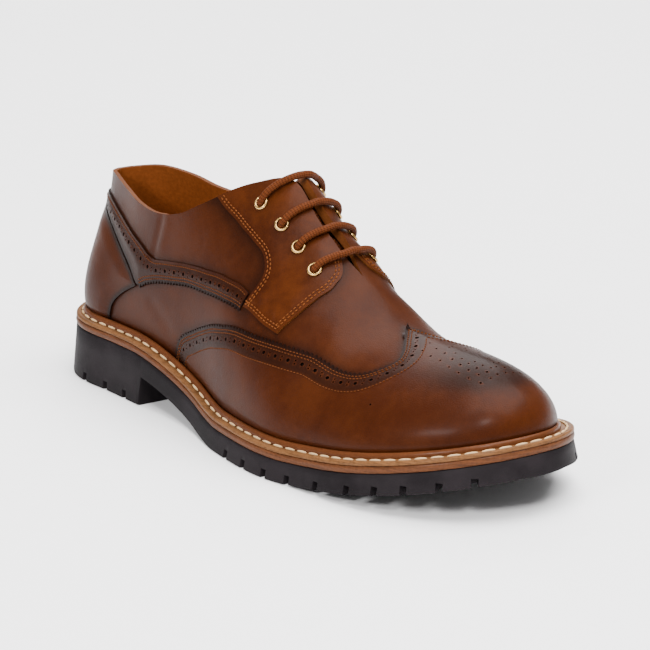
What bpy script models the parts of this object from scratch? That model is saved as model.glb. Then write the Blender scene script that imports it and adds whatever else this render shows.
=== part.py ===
# A brogue derby shoe for the right foot, rebuilt from one photograph.
# Metres. +X points to the toe, +Y to the inner side of the foot, +Z up, and the floor is Z = 0.
from math import pi

import bmesh
import bpy
import numpy as np
from mathutils import Matrix, Vector

SHOE_LENGTH = 0.308          # outsole, heel to toe
BALL_WIDTH = 0.110           # outsole across the ball of the foot
INSTEP_HEIGHT = 0.1153       # floor to the top of the facings
HEEL_HEIGHT = 0.0239         # floor to the top of the rubber at the heel
HEEL_LENGTH = 0.077
TREAD_HEIGHT = 0.0097        # rubber under the forefoot
MIDSOLE_HEIGHT = 0.0034
WELT_HEIGHT = 0.0020
WELT_REACH = 0.0135          # width of the welt strip, from its outer edge inwards
BEAD_HEIGHT = 0.0026         # raised bead of the welt, against the upper
BEAD_WIDTH = 0.0026
BEAD_GAP = 0.0010            # between the bead and the foot of the upper
SOLE_FLARE = 0.0019          # how far the rubber widens towards the floor
LAYER_GAP = 0.0002           # between the stacked layers of the sole
TOE_SPRING = 0.019
TOE_SPRING_START = 0.648     # share of the length
HEEL_ROUND = 0.040
TOE_ROUND = 0.085
TOE_LEAN = 0.004
FEATHER_INSET = 0.0065       # from the outsole's edge to the foot of the upper
TOE_FEATHER_INSET = 0.0090
FEATHER_GAP = 0.0003         # between the welt and the upper
UPPER_WALL = 0.0020
OVERLAY_THICKNESS = 0.00115
OVERLAY_GAP = 0.00065        # between the upper and what is laid over it
OVERLAY_LIFT = OVERLAY_GAP + OVERLAY_THICKNESS
TONGUE_THICKNESS = 0.0024
TONGUE_GAP = 0.0010
INSOLE_THICKNESS = 0.0025
INSOLE_GAP = 0.0007
THROAT_END = 0.65            # rib share where the two halves of the upper join
EYELET_RADIUS = 0.0034
EYELET_HOLE_RADIUS = 0.0019
EYELET_BARREL_RADIUS = 0.0023
EYELET_CUT_RADIUS = 0.00255
EYELET_STAND = 0.0003         # from the facing to the underside of the flange
EYELET_FLANGE = 0.0008
EYELET_DEPTH = 0.0034
LACE_RADIUS = 0.0016
LACE_CLEARANCE = 0.0004
NOTCH_WIDTH = 0.0032
NOTCH_HEIGHT = 0.0042
NOTCH_DEPTH = 0.014          # how far a side notch runs in from the edge
TREAD_GROOVE = 0.0034        # width of the groove inside the edge lugs
CENTRE = (0.154, -0.00227)   # middle of the outsole's box, moved to the origin

# x as a share of the length; half widths of the outsole as shares of the ball width
OUTLINE = np.array([
    # x, lateral, medial
    (0.00, 0.345, 0.330),
    (0.12, 0.322, 0.330),
    (0.25, 0.343, 0.315),
    (0.38, 0.378, 0.285),
    (0.50, 0.474, 0.320),
    (0.62, 0.522, 0.400),
    (0.70, 0.502, 0.460),
    (0.80, 0.493, 0.490),
    (0.90, 0.479, 0.500),
    (1.00, 0.466, 0.463),
])

# One rib of the last per row. share: along the half outline, heel 0 to toe 1. top_x: share of the
# length. ridge, half_gap: middle and half width of the rib pair's top, shares of the ball width.
# top_z: share of the instep height. The rest are the rib's handles in millimetres.
RIBS = np.array([
    # share, top_x, ridge, half_gap, top_z, rise, lateral_lean, medial_lean, reach, drop
    (0.00, 0.0300, 0.0000, 0.0000, 0.808, 20, 4.5, 4.5, 3.0, 29.0),
    (0.05, 0.0430, 0.0125, 0.0675, 0.813, 20, 4.5, 4.5, 3.0, 29.0),
    (0.10, 0.0750, 0.0250, 0.1300, 0.820, 20, 4.5, 4.5, 3.0, 29.0),
    (0.15, 0.1280, 0.0210, 0.1830, 0.804, 20, 4.0, 4.0, 3.0, 29.0),
    (0.20, 0.1880, -0.0035, 0.2145, 0.785, 20, 3.5, 4.0, 3.0, 28.0),
    (0.25, 0.2500, -0.0160, 0.2380, 0.782, 21, 3.0, 5.0, 3.0, 28.0),
    (0.30, 0.3080, -0.0120, 0.2500, 0.813, 23, 3.0, 6.0, 3.5, 29.0),
    (0.35, 0.3510, -0.0040, 0.2410, 0.870, 25, 3.0, 7.0, 6.0, 28.0),
    (0.40, 0.3900, -0.0040, 0.1960, 0.928, 27, 3.5, 8.0, 11.0, 24.0),
    (0.45, 0.4330, -0.0100, 0.1130, 0.978, 29, 4.0, 8.0, 17.0, 17.0),
    (0.50, 0.4840, -0.0225, 0.0245, 1.000, 29, 4.5, 7.0, 21.0, 14.0),
    (0.55, 0.5360, -0.0225, 0.0225, 0.880, 26, 5.0, 6.0, 22.0, 13.0),
    (0.60, 0.5880, -0.0200, 0.0250, 0.787, 23, 5.0, 5.0, 23.0, 11.0),
    (0.65, 0.6250, -0.0060, 0.0000, 0.698, 20, 5.0, 4.5, 23.0, 6.0),
    (0.70, 0.6760, 0.0100, 0.0000, 0.586, 18, 4.5, 4.0, 23.0, 4.5),
    (0.75, 0.7240, 0.0180, 0.0000, 0.533, 17, 4.0, 4.0, 23.0, 3.4),
    (0.80, 0.7660, 0.0250, 0.0000, 0.518, 17, 3.5, 3.0, 23.0, 2.8),
    (0.85, 0.8030, 0.0300, 0.0000, 0.513, 16, 3.0, 2.5, 22.0, 2.6),
    (0.90, 0.8330, 0.0340, 0.0000, 0.510, 15, 2.5, 2.0, 21.0, 2.4),
    (0.95, 0.8500, 0.0360, 0.0000, 0.508, 15, 2.0, 2.0, 21.0, 2.4),
    (1.00, 0.8560, 0.0360, 0.0000, 0.506, 15, 2.0, 2.0, 21.0, 2.4),
])

# Edges of the overlays on the last: along the edge, rib share, height up the rib.
WING_TOP = np.array([
    (0.00, 0.323, 0.100), (0.05, 0.345, 0.205), (0.10, 0.380, 0.300), (0.15, 0.420, 0.345),
    (0.20, 0.465, 0.360), (0.25, 0.510, 0.375), (0.30, 0.555, 0.425), (0.35, 0.600, 0.470),
    (0.40, 0.645, 0.495), (0.45, 0.690, 0.515), (0.50, 0.730, 0.570), (0.55, 0.765, 0.710),
    (0.60, 0.765, 0.800), (0.65, 0.750, 0.900), (0.70, 0.735, 1.000), (1.00, 1.000, 1.000),
])
WING_FOOT = np.array([
    (0.00, 0.335, 0.070), (0.20, 0.455, 0.070), (0.40, 0.630, 0.075), (0.50, 0.705, 0.080),
    (0.70, 0.810, 0.090), (1.00, 1.000, 0.095),
])
COUNTER_TOP = np.array([
    (0.00, -0.222, 0.435), (0.125, -0.198, 0.555), (0.25, -0.160, 0.660), (0.375, -0.105, 0.755),
    (0.44, -0.050, 0.812), (0.50, 0.000, 0.830), (0.56, 0.050, 0.812),
    (0.625, 0.105, 0.755), (0.75, 0.160, 0.660), (0.875, 0.198, 0.555), (1.00, 0.222, 0.435),
])
COUNTER_FOOT = np.array([(0.00, -0.155, 0.070), (1.00, 0.155, 0.070)])
COUNTER_FRONT = np.array([
    (0.00, 0.155, 0.070), (0.30, 0.165, 0.180), (0.65, 0.188, 0.310), (1.00, 0.222, 0.435),
])
BAND_FOOT = np.array([
    (0.00, 0.000, 0.838), (0.10, 0.050, 0.821), (0.20, 0.108, 0.764), (0.30, 0.163, 0.669),
    (0.40, 0.202, 0.563), (0.46, 0.227, 0.447), (0.52, 0.247, 0.495), (0.60, 0.280, 0.545),
    (0.70, 0.335, 0.548), (0.80, 0.390, 0.508), (0.90, 0.443, 0.462), (1.00, 0.494, 0.430),
])
BAND_TOP = np.array([
    (0.00, 0.000, 0.888), (0.10, 0.055, 0.882), (0.20, 0.120, 0.858), (0.30, 0.175, 0.820),
    (0.40, 0.220, 0.768), (0.50, 0.258, 0.705), (0.56, 0.285, 0.712), (0.60, 0.305, 0.705),
    (0.70, 0.357, 0.655), (0.80, 0.405, 0.598), (0.90, 0.455, 0.540), (1.00, 0.504, 0.500),
])
FACING_REAR = np.array([
    (0.00, 0.500, 0.448), (0.15, 0.513, 0.530), (0.30, 0.520, 0.600), (0.45, 0.511, 0.645),
    (0.60, 0.485, 0.680), (0.75, 0.455, 0.755), (0.88, 0.420, 0.870), (1.00, 0.388, 1.000),
])
FACING_TOP = np.array([(0.00, 0.388, 1.000), (0.50, 0.500, 1.000), (1.00, 0.600, 1.000)])
FACING_FRONT = np.array([
    (0.00, 0.578, 0.487), (0.25, 0.598, 0.610), (0.50, 0.614, 0.725), (0.75, 0.626, 0.830),
    (0.90, 0.622, 0.920), (1.00, 0.600, 1.000),
])
FACING_FOOT = np.array([(0.00, 0.500, 0.448), (0.50, 0.537, 0.465), (1.00, 0.578, 0.487)])
# share and height of each eyelet, and the share at which its bar of lace crosses the throat
EYELETS = ((0.475, 0.850, 0.498), (0.517, 0.800, 0.534), (0.552, 0.820, 0.570), (0.590, 0.815, 0.610))
FOREFOOT_NOTCHES = (0.530, 0.580, 0.630, 0.677, 0.737, 0.798, 0.844, 0.886, 0.930, 0.965)
HEEL_NOTCHES = (0.045, 0.100, 0.155, 0.208)
CENTRE_GROOVES = (0.088, 0.150, 0.560, 0.615, 0.670, 0.725, 0.780, 0.835, 0.890)

LATERAL = -1
MEDIAL = 1


def smooth(table, at, column):
    """Value of one column of a table, on a smooth curve through its rows."""
    across, value = table[:, 0], table[:, column]
    gap = np.diff(across)
    slope = np.diff(value) / gap
    inner = (slope[:-1] * gap[1:] + slope[1:] * gap[:-1]) / (gap[1:] + gap[:-1])
    tangent = np.concatenate([slope[:1], inner, slope[-1:]])
    at = np.clip(at, across[0], across[-1])
    i = np.clip(np.searchsorted(across, at, side="right") - 1, 0, len(across) - 2)
    width = across[i + 1] - across[i]
    t = (at - across[i]) / width
    start = (2 * t**3 - 3 * t**2 + 1) * value[i] + (t**3 - 2 * t**2 + t) * width * tangent[i]
    end = (3 * t**2 - 2 * t**3) * value[i + 1] + (t**3 - t**2) * width * tangent[i + 1]
    return start + end


def ease(t):
    t = np.clip(t, 0, 1)
    return t * t * (3 - 2 * t)


def unit(vectors):
    return vectors / (np.linalg.norm(vectors, axis=-1)[..., None] + 1e-12)


def toe_spring(x):
    share = (x / SHOE_LENGTH - TOE_SPRING_START) / (1 - TOE_SPRING_START)
    return TOE_SPRING * np.clip(share, 0, 1) ** 1.54


def sole_top(x):
    arch = ease((x / SHOE_LENGTH - 0.212) / 0.277)
    return HEEL_HEIGHT + (TREAD_HEIGHT - HEEL_HEIGHT) * arch + toe_spring(x)


def welt_top(x):
    return sole_top(x) + MIDSOLE_HEIGHT + WELT_HEIGHT


def half_outline(side, count=500):
    """Points and outward directions of one side of the outsole, heel centre to toe centre."""
    x = SHOE_LENGTH * (1 - np.cos(np.linspace(0, pi, count))) / 2
    width = smooth(OUTLINE, x / SHOE_LENGTH, 1 if side == LATERAL else 2) * BALL_WIDTH
    heel = np.clip((HEEL_ROUND - x) / HEEL_ROUND, 0, 1)
    toe = np.clip((x - (SHOE_LENGTH - TOE_ROUND)) / TOE_ROUND, 0, 1)
    cap = np.sqrt(np.clip(1 - heel**2.2, 0, 1)) * np.clip(1 - toe**2.3, 0, 1) ** (1 / 2.1)
    lean = TOE_LEAN * ease((x - (SHOE_LENGTH - 2 * TOE_ROUND)) / TOE_ROUND)
    points = np.stack([x, lean + (side * width - lean) * cap], 1)
    along = unit(np.gradient(points, axis=0))
    out = np.stack([along[:, 1], -along[:, 0]], 1) * -side
    out[0] = (-1, 0)
    out[-1] = (1, 0)
    return points, out


def feather_inset(x):
    share = ease((x / SHOE_LENGTH - 0.6) / 0.35)
    return FEATHER_INSET + (TOE_FEATHER_INSET - FEATHER_INSET) * share


def inset_line(side, share, inset):
    """Points and outward directions on a line inset from the outsole's edge, by share of its run."""
    points, out = half_outline(side)
    line = points - out * inset(points[:, 0])[:, None]
    run = np.concatenate([[0], np.cumsum(np.hypot(*np.diff(line, axis=0).T))])
    run /= run[-1]
    at = np.stack([np.interp(share, run, line[:, 0]), np.interp(share, run, line[:, 1])], -1)
    way = np.stack([np.interp(share, run, out[:, 0]), np.interp(share, run, out[:, 1])], -1)
    return at, unit(way)


def rib(side, share, height):
    """Point on the last at a rib share and a height up that rib, feather 0 to top 1."""
    share, height = np.broadcast_arrays(np.asarray(share, float), np.asarray(height, float))
    foot, out = inset_line(side, share, feather_inset)
    ridge = smooth(RIBS, share, 2)
    half_gap = np.where(share < THROAT_END - 1e-6, np.maximum(smooth(RIBS, share, 3), 0), 0)
    top_y = (ridge + side * half_gap) * BALL_WIDTH
    start_z = welt_top(foot[..., 0]) + FEATHER_GAP
    top_x = smooth(RIBS, share, 1) * SHOE_LENGTH
    top_z = smooth(RIBS, share, 4) * INSTEP_HEIGHT
    lean = smooth(RIBS, share, 6 if side == LATERAL else 7) * 0.001
    rise, reach, drop = (smooth(RIBS, share, column) * 0.001 for column in (5, 8, 9))
    start = np.stack([foot[..., 0], foot[..., 1], start_z], -1)
    end = np.stack([top_x, top_y, top_z], -1)
    away = unit(foot - np.stack([top_x, ridge * BALL_WIDTH], -1))
    low = start + np.stack([out[..., 0] * lean, out[..., 1] * lean, rise], -1)
    high = end + np.stack([away[..., 0] * reach, away[..., 1] * reach, -drop], -1)
    t = height[..., None]
    return (1 - t)**3 * start + 3 * (1 - t)**2 * t * low + 3 * (1 - t) * t * t * high + t**3 * end


def rib_normal(side, share, height):
    """Outward direction. By the toe the ribs meet at one end, so it is read a little below that."""
    step = 0.004
    height = np.minimum(height, 1 - 0.04 * ease((share - 0.8) / 0.1))
    low, high = np.clip(share - step, 0, 1), np.clip(share + step, 0, 1)
    along = rib(side, high, height) - rib(side, low, height)
    down, up = np.clip(height - step, 0, 1), np.clip(height + step, 0, 1)
    return unit(np.cross(along, rib(side, share, up) - rib(side, share, down)) * -side)


def skin(side, share, height, lift):
    """Point at a distance outside the last. The two sides agree where they meet."""
    share, height = np.broadcast_arrays(np.asarray(share, float), np.asarray(height, float))
    normal = rib_normal(side, share, height)
    other = rib_normal(-side, share, height)
    seam = (share < 1e-6) | (share > 1 - 1e-6) | ((height > 1 - 1e-6) & (share >= THROAT_END - 1e-6))
    normal = np.where(seam[..., None], unit(normal + other), normal)
    return rib(side, share, height) + normal * lift


def signed_skin(share, height, lift):
    """As skin, with negative shares on the lateral side."""
    outer = skin(LATERAL, np.abs(share), height, lift)
    inner = skin(MEDIAL, np.abs(share), height, lift)
    return np.where((share < 0)[..., None], outer, inner)


def edge_at(table, along):
    return np.stack([smooth(table, along, 1), np.minimum(smooth(table, along, 2), 1)], -1)


def patch(foot, top, left, right, rows, columns):
    """Rib shares and heights of a four-edged patch, from tables of its edges."""
    along = np.linspace(0, 1, rows + 1)[:, None]
    up = np.linspace(0, 1, columns + 1)[None, :]
    low, high = edge_at(foot, along[:, 0])[:, None], edge_at(top, along[:, 0])[:, None]
    near, far = edge_at(left, up[0])[None], edge_at(right, up[0])[None]
    a, b = along[..., None], up[..., None]
    ruled = (1 - b) * low + b * high + (1 - a) * near + a * far
    corners = (1 - a) * ((1 - b) * low[0] + b * high[0]) + a * ((1 - b) * low[-1] + b * high[-1])
    return ruled - corners


def straight(start, end):
    return np.array([(0, start[1], start[2]), (1, end[1], end[2])])


def clear_scene():
    for item in list(bpy.data.objects):
        bpy.data.objects.remove(item, do_unlink=True)
    for collection in list(bpy.data.collections):
        bpy.data.collections.remove(collection)


def make_material(name, color, roughness, metallic=0.0):
    material = bpy.data.materials.new(name)
    material.use_nodes = True
    shader = material.node_tree.nodes["Principled BSDF"]
    shader.inputs["Base Color"].default_value = (*color, 1)
    shader.inputs["Roughness"].default_value = roughness
    shader.inputs["Metallic"].default_value = metallic
    material.diffuse_color = (*color, 1)
    return material


def grid(bm, points):
    """Lay a grid of faces through rows of points."""
    rows, columns = points.shape[:2]
    made = bmesh.ops.create_grid(bm, x_segments=columns - 1, y_segments=rows - 1, size=1)
    for vert in made["verts"]:
        column = round((vert.co.x + 1) / 2 * (columns - 1))
        row = round((vert.co.y + 1) / 2 * (rows - 1))
        vert.co = points[row, column]


def weld(bm):
    bmesh.ops.remove_doubles(bm, verts=bm.verts[:], dist=0.00001)
    bmesh.ops.dissolve_degenerate(bm, dist=0.000001, edges=bm.edges[:])


def add_object(name, bm, material, collection):
    bmesh.ops.translate(bm, verts=bm.verts[:], vec=(-CENTRE[0], -CENTRE[1], 0))
    mesh = bpy.data.meshes.new(name)
    bm.to_mesh(mesh)
    bm.free()
    if material:
        mesh.materials.append(material)
    item = bpy.data.objects.new(name, mesh)
    collection.objects.link(item)
    return item


def add_leather(name, patches, thickness, material, collection):
    """A sheet of leather: open grids on the last, thickened towards the foot."""
    bm = bmesh.new()
    for points in patches:
        grid(bm, points)
    weld(bm)
    bmesh.ops.recalc_face_normals(bm, faces=bm.faces[:])
    outward = 0
    for face in bm.faces:
        middle = face.calc_center_median()
        core = Vector((min(max(middle.x, 0.04), SHOE_LENGTH - 0.06), 0, 0.045))
        outward += face.normal.dot(middle - core) * face.calc_area()
    if outward < 0:
        bmesh.ops.reverse_faces(bm, faces=bm.faces[:])
    item = add_object(name, bm, material, collection)
    solid = item.modifiers.new("thickness", "SOLIDIFY")
    solid.thickness = thickness
    solid.offset = -1
    return item


def capped(rings):
    """Rings with a centre point added at each end, which closes the loft."""
    ends = [np.broadcast_to(ring.mean(axis=0), ring.shape)[None] for ring in (rings[0], rings[-1])]
    return np.concatenate([ends[0], rings, ends[1]])


def add_loft(name, rings, material, collection):
    """A closed body through rings of points. End rings close where their points meet."""
    bm = bmesh.new()
    grid(bm, np.concatenate([rings, rings[:, :1]], axis=1))
    weld(bm)
    if bm.calc_volume(signed=True) < 0:
        bmesh.ops.reverse_faces(bm, faces=bm.faces[:])
    return add_object(name, bm, material, collection)


def sole_edge(side, x, offset):
    """Points beside the outsole's edge, at distances along the shoe and outwards."""
    points, out = half_outline(side)
    way = np.stack([np.interp(x, points[:, 0], out[:, k]) for k in (0, 1)], -1)
    y = np.interp(x, points[:, 0], points[:, 1])
    return np.stack([x, y], -1) + unit(way) * np.broadcast_to(offset, x.shape)[..., None]


def plate_rings(x, low_z, low_offset, high_z, high_offset):
    """Cross sections of a plate with the outsole's outline, heel to toe."""
    share = np.linspace(0, 1, 3)[None, :, None]
    layers = []
    for z_at, offset in ((high_z, high_offset), (low_z, low_offset)):
        outer = sole_edge(LATERAL, x, offset)[:, None]
        inner = sole_edge(MEDIAL, x, offset)[:, None]
        flat = outer + (inner - outer) * share
        layers.append(np.concatenate([flat, z_at(flat[..., :1])], 2))
    return np.concatenate([layers[0], layers[1][:, ::-1]], axis=1)


def stations(count, extra=()):
    x = SHOE_LENGTH * (1 - np.cos(np.linspace(0, pi, count))) / 2
    for place in extra:
        x = x[np.abs(x - place) > 0.0025]
    return np.sort(np.concatenate([x, extra]))


def add_cutter(name, bm, collection):
    item = add_object(name, bm, None, collection)
    item.hide_render = True
    item.display_type = "WIRE"
    return item


def cut(item, cutter):
    change = item.modifiers.new("cut by " + cutter.name, "BOOLEAN")
    change.operation = "DIFFERENCE"
    change.solver = "EXACT"
    change.object = cutter


def tread_cutter(collection):
    """Notches between the edge lugs, and the grooves across the middle."""
    bm = bmesh.new()
    for side in (LATERAL, MEDIAL):
        for share in HEEL_NOTCHES + FOREFOOT_NOTCHES:
            x = np.array([share * SHOE_LENGTH])
            edge = sole_edge(side, x, 0)[0]
            way = sole_edge(side, x, 1)[0] - edge
            turn = np.arctan2(way[1], way[0])
            reach = NOTCH_DEPTH + 0.006
            height = NOTCH_HEIGHT + 0.010
            top = float(toe_spring(x)[0]) + NOTCH_HEIGHT
            middle = edge + way * (0.006 - reach / 2)
            place = Matrix.Translation((middle[0], middle[1], top - height / 2))
            place = place @ Matrix.Rotation(turn, 4, "Z")
            place = place @ Matrix.Diagonal((reach, NOTCH_WIDTH, height, 1))
            bmesh.ops.create_cube(bm, size=1, matrix=place)
    for share in CENTRE_GROOVES:
        x = np.array([share * SHOE_LENGTH])
        ends = [sole_edge(side, x, -NOTCH_DEPTH - TREAD_GROOVE / 2)[0] for side in (LATERAL, MEDIAL)]
        height = NOTCH_HEIGHT + 0.0091
        middle = ((ends[0][0] + ends[1][0]) / 2, (ends[0][1] + ends[1][1]) / 2)
        top = float(toe_spring(x)[0]) + NOTCH_HEIGHT - 0.0009
        place = Matrix.Translation((*middle, top - height / 2))
        place = place @ Matrix.Diagonal((TREAD_GROOVE, ends[1][1] - ends[0][1], height, 1))
        bmesh.ops.create_cube(bm, size=1, matrix=place)
    return add_cutter("notch_cutter", bm, collection)


def groove_cutter(collection):
    """The long grooves inside the edge lugs of the heel and of the forefoot."""
    bm = bmesh.new()
    for side in (LATERAL, MEDIAL):
        for start, end in ((0.040, 0.222), (0.500, 0.930)):
            x = np.linspace(start, end, 13) * SHOE_LENGTH
            near = sole_edge(side, x, -NOTCH_DEPTH + 0.0012)
            far = sole_edge(side, x, -NOTCH_DEPTH - TREAD_GROOVE + 0.0012)
            low, high = toe_spring(x) - 0.010, toe_spring(x) + NOTCH_HEIGHT - 0.0006
            corners = [(near, low), (near, high), (far, high), (far, low)]
            rings = np.stack([np.column_stack([flat, z]) for flat, z in corners], axis=1)
            rings = capped(rings)
            grid(bm, np.concatenate([rings, rings[:, :1]], axis=1))
    weld(bm)
    bmesh.ops.recalc_face_normals(bm, faces=bm.faces[:])
    return add_cutter("groove_cutter", bm, collection)


def eyelet_frame(side, share, height):
    """Place and axes of an eyelet: origin on the facing, Z along its normal."""
    share, height = np.array([share]), np.array([height])
    place = Vector(skin(side, share, height, OVERLAY_LIFT)[0])
    normal = Vector(rib_normal(side, share, height)[0])
    return Matrix.Translation(place) @ normal.to_track_quat("Z", "Y").to_matrix().to_4x4()


def eyelet_cutter(collection):
    bm = bmesh.new()
    for side in (LATERAL, MEDIAL):
        for share, height, _ in EYELETS:
            frame = eyelet_frame(side, share, height) @ Matrix.Translation((0, 0, -0.001))
            bmesh.ops.create_cone(
                bm, cap_ends=True, segments=14, radius1=EYELET_CUT_RADIUS, radius2=EYELET_CUT_RADIUS,
                depth=0.009, matrix=frame)
    return add_cutter("eyelet_cutter", bm, collection)


def add_eyelet(name, frame, material, collection):
    profile = (
        (EYELET_HOLE_RADIUS, EYELET_STAND + EYELET_FLANGE), (EYELET_RADIUS, EYELET_STAND),
        (EYELET_BARREL_RADIUS, EYELET_STAND), (EYELET_BARREL_RADIUS, -EYELET_DEPTH),
        (EYELET_HOLE_RADIUS, -EYELET_DEPTH))
    bm = bmesh.new()
    verts = [bm.verts.new((radius, 0, z)) for radius, z in profile]
    edges = [bm.edges.new((verts[k], verts[k - 1])) for k in range(len(verts))]
    bmesh.ops.spin(
        bm, geom=verts + edges, cent=(0, 0, 0), axis=(0, 0, 1), angle=2 * pi, steps=12, use_merge=True)
    weld(bm)
    bmesh.ops.transform(bm, matrix=frame, verts=bm.verts[:])
    if bm.calc_volume(signed=True) < 0:
        bmesh.ops.reverse_faces(bm, faces=bm.faces[:])
    return add_object(name, bm, material, collection)


def add_lace_bar(name, share, height, crossing, material, collection):
    """A bar of lace from eyelet to eyelet, over the throat."""
    lift = OVERLAY_LIFT + EYELET_STAND + EYELET_FLANGE + LACE_CLEARANCE + LACE_RADIUS
    shares, heights = np.linspace(share, crossing, 5), np.linspace(height, 1, 5)
    outer, inner = (skin(side, shares, heights, lift) for side in (LATERAL, MEDIAL))
    line = np.concatenate([outer, (outer[-1:] + inner[-1:]) / 2, inner[::-1]])
    slope = unit(np.gradient(line, axis=0))
    sideways = unit(np.cross(slope, (0, 0, 1)))
    upwards = np.cross(sideways, slope)
    turns = np.linspace(0, 2 * pi, 8, endpoint=False)[None, :, None]
    rings = line[:, None] + LACE_RADIUS * (np.cos(turns) * sideways[:, None] + np.sin(turns) * upwards[:, None])
    return add_loft(name, capped(rings), material, collection)


def build():
    clear_scene()
    parts = bpy.data.collections.new("brogue_shoe")
    cutters = bpy.data.collections.new("cutters")
    for collection in (parts, cutters):
        bpy.context.scene.collection.children.link(collection)

    leather = (0.20, 0.065, 0.024)
    dark = (0.10, 0.035, 0.016)
    tan = (0.36, 0.17, 0.075)
    looks = {
        "outsole": ((0.022, 0.020, 0.022), 0.55),
        "midsole": (tan, 0.55),
        "welt": (tan, 0.50),
        "insole": ((0.34, 0.15, 0.055), 0.60),
        "upper": (leather, 0.38),
        "toe_cap": (leather, 0.35),
        "counter": (leather, 0.38),
        "counter_band": (dark, 0.42),
        "facing_lateral": (leather, 0.40),
        "facing_medial": (leather, 0.40),
        "tongue": (dark, 0.50),
        "eyelet": ((0.62, 0.42, 0.18), 0.30, 1.0),
        "lace": ((0.30, 0.11, 0.035), 0.70),
    }
    materials = {name: make_material(name, *look) for name, look in looks.items()}

    # outsole with its heel, one piece of rubber
    x = stations(46, (HEEL_LENGTH - 0.0006, HEEL_LENGTH + 0.0006, 0.060, 0.092))
    heel = x < HEEL_LENGTH
    flare = np.where(heel, SOLE_FLARE, SOLE_FLARE * TREAD_HEIGHT / (sole_top(x) - toe_spring(x)))
    rings = plate_rings(
        x, lambda at: np.where(heel[:, None, None], 0, sole_top(at) - TREAD_HEIGHT), flare,
        lambda at: sole_top(at) - LAYER_GAP, 0)
    outsole = add_loft("outsole", rings, materials["outsole"], parts)
    cut(outsole, tread_cutter(cutters))
    cut(outsole, groove_cutter(cutters))

    # midsole
    x = stations(42)
    rings = plate_rings(x, sole_top, 0, lambda at: sole_top(at) + MIDSOLE_HEIGHT - LAYER_GAP, 0)
    add_loft("midsole", rings, materials["midsole"], parts)

    # welt: a strip all round, with a bead against the upper
    rings = []
    for side, share in ((LATERAL, np.linspace(0, 1, 33)), (MEDIAL, np.linspace(1, 0, 33)[1:])):
        edge, way = inset_line(side, share, lambda at: 0 * at)
        bead = feather_inset(edge[:, 0]) - BEAD_WIDTH / 2 - BEAD_GAP
        half = BEAD_WIDTH / 2
        crown = WELT_HEIGHT + BEAD_HEIGHT
        profile = (
            (0 * bead, 0), (0 * bead, WELT_HEIGHT), (bead - half, WELT_HEIGHT), (bead - half * 0.4, crown),
            (bead + half * 0.4, crown), (bead + half, WELT_HEIGHT), (0 * bead + WELT_REACH, WELT_HEIGHT),
            (0 * bead + WELT_REACH, 0))
        columns = []
        for inset, z in profile:
            flat = edge - way * inset[:, None]
            columns.append(np.column_stack([flat, sole_top(flat[:, 0]) + MIDSOLE_HEIGHT + z]))
        rings.append(np.stack(columns, axis=1))
    add_loft("welt", np.concatenate(rings), materials["welt"], parts)

    # insole, inside the wall of the upper
    inset = -(feather_inset(x) + UPPER_WALL + INSOLE_GAP)
    rings = plate_rings(
        x, lambda at: welt_top(at) + FEATHER_GAP, inset,
        lambda at: welt_top(at) + FEATHER_GAP + INSOLE_THICKNESS, inset)
    add_loft("insole", rings, materials["insole"], parts)

    # upper: one shell, open at the collar, the throat and underneath
    spans = ((0, 0.0625, 6), (0.0625, 0.15, 4), (0.15, THROAT_END, 15), (THROAT_END, 0.85, 6), (0.85, 1, 6))
    share = np.unique(np.concatenate([np.linspace(*span[:2], span[2]) for span in spans]))[:, None]
    height = np.array([0, 0.09, 0.19, 0.30, 0.42, 0.54, 0.66, 0.77, 0.88, 1])[None, :]
    halves = [skin(side, share, height, 0) for side in (LATERAL, MEDIAL)]
    upper = add_leather("upper", halves, UPPER_WALL, materials["upper"], parts)

    # toe cap with its two wings
    left = straight(WING_FOOT[0], WING_TOP[0])
    right = straight(WING_FOOT[-1], WING_TOP[-1])
    place = patch(WING_FOOT, WING_TOP, left, right, 30, 8)
    halves = [skin(side, place[..., 0], place[..., 1], OVERLAY_LIFT) for side in (LATERAL, MEDIAL)]
    add_leather("toe_cap", halves, OVERLAY_THICKNESS, materials["toe_cap"], parts)

    # counter and the perforated band above it
    lateral_front = COUNTER_FRONT * (1, -1, 1)
    place = patch(COUNTER_FOOT, COUNTER_TOP, lateral_front, COUNTER_FRONT, 24, 6)
    sheet = signed_skin(place[..., 0], place[..., 1], OVERLAY_LIFT)
    add_leather("counter", [sheet], OVERLAY_THICKNESS, materials["counter"], parts)
    left = straight(BAND_FOOT[0], BAND_TOP[0])
    right = straight(BAND_FOOT[-1], BAND_TOP[-1])
    place = patch(BAND_FOOT, BAND_TOP, left, right, 26, 3)
    halves = [skin(side, place[..., 0], place[..., 1], OVERLAY_LIFT) for side in (LATERAL, MEDIAL)]
    add_leather("counter_band", halves, OVERLAY_THICKNESS, materials["counter_band"], parts)

    # facings, with the eyelet holes through them and the upper
    holes = eyelet_cutter(cutters)
    cut(upper, holes)
    place = patch(FACING_FOOT, FACING_TOP, FACING_REAR, FACING_FRONT, 8, 10)
    for side, name in ((LATERAL, "facing_lateral"), (MEDIAL, "facing_medial")):
        sheet = skin(side, place[..., 0], place[..., 1], OVERLAY_LIFT)
        facing = add_leather(name, [sheet], OVERLAY_THICKNESS, materials[name], parts)
        cut(facing, holes)

    # tongue, under the throat
    share = np.linspace(0.465, 0.665, 11)[:, None]
    height = np.array([0.70, 0.78, 0.86, 0.93, 1.0])[None, :]
    lift = -(UPPER_WALL + TONGUE_GAP)
    outer, inner = (skin(side, share, height, lift) for side in (LATERAL, MEDIAL))
    middle = (outer[:, -1:] + inner[:, -1:]) / 2
    sheet = np.concatenate([outer, middle, inner[:, ::-1]], axis=1)
    add_leather("tongue", [sheet], TONGUE_THICKNESS, materials["tongue"], parts)

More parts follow.
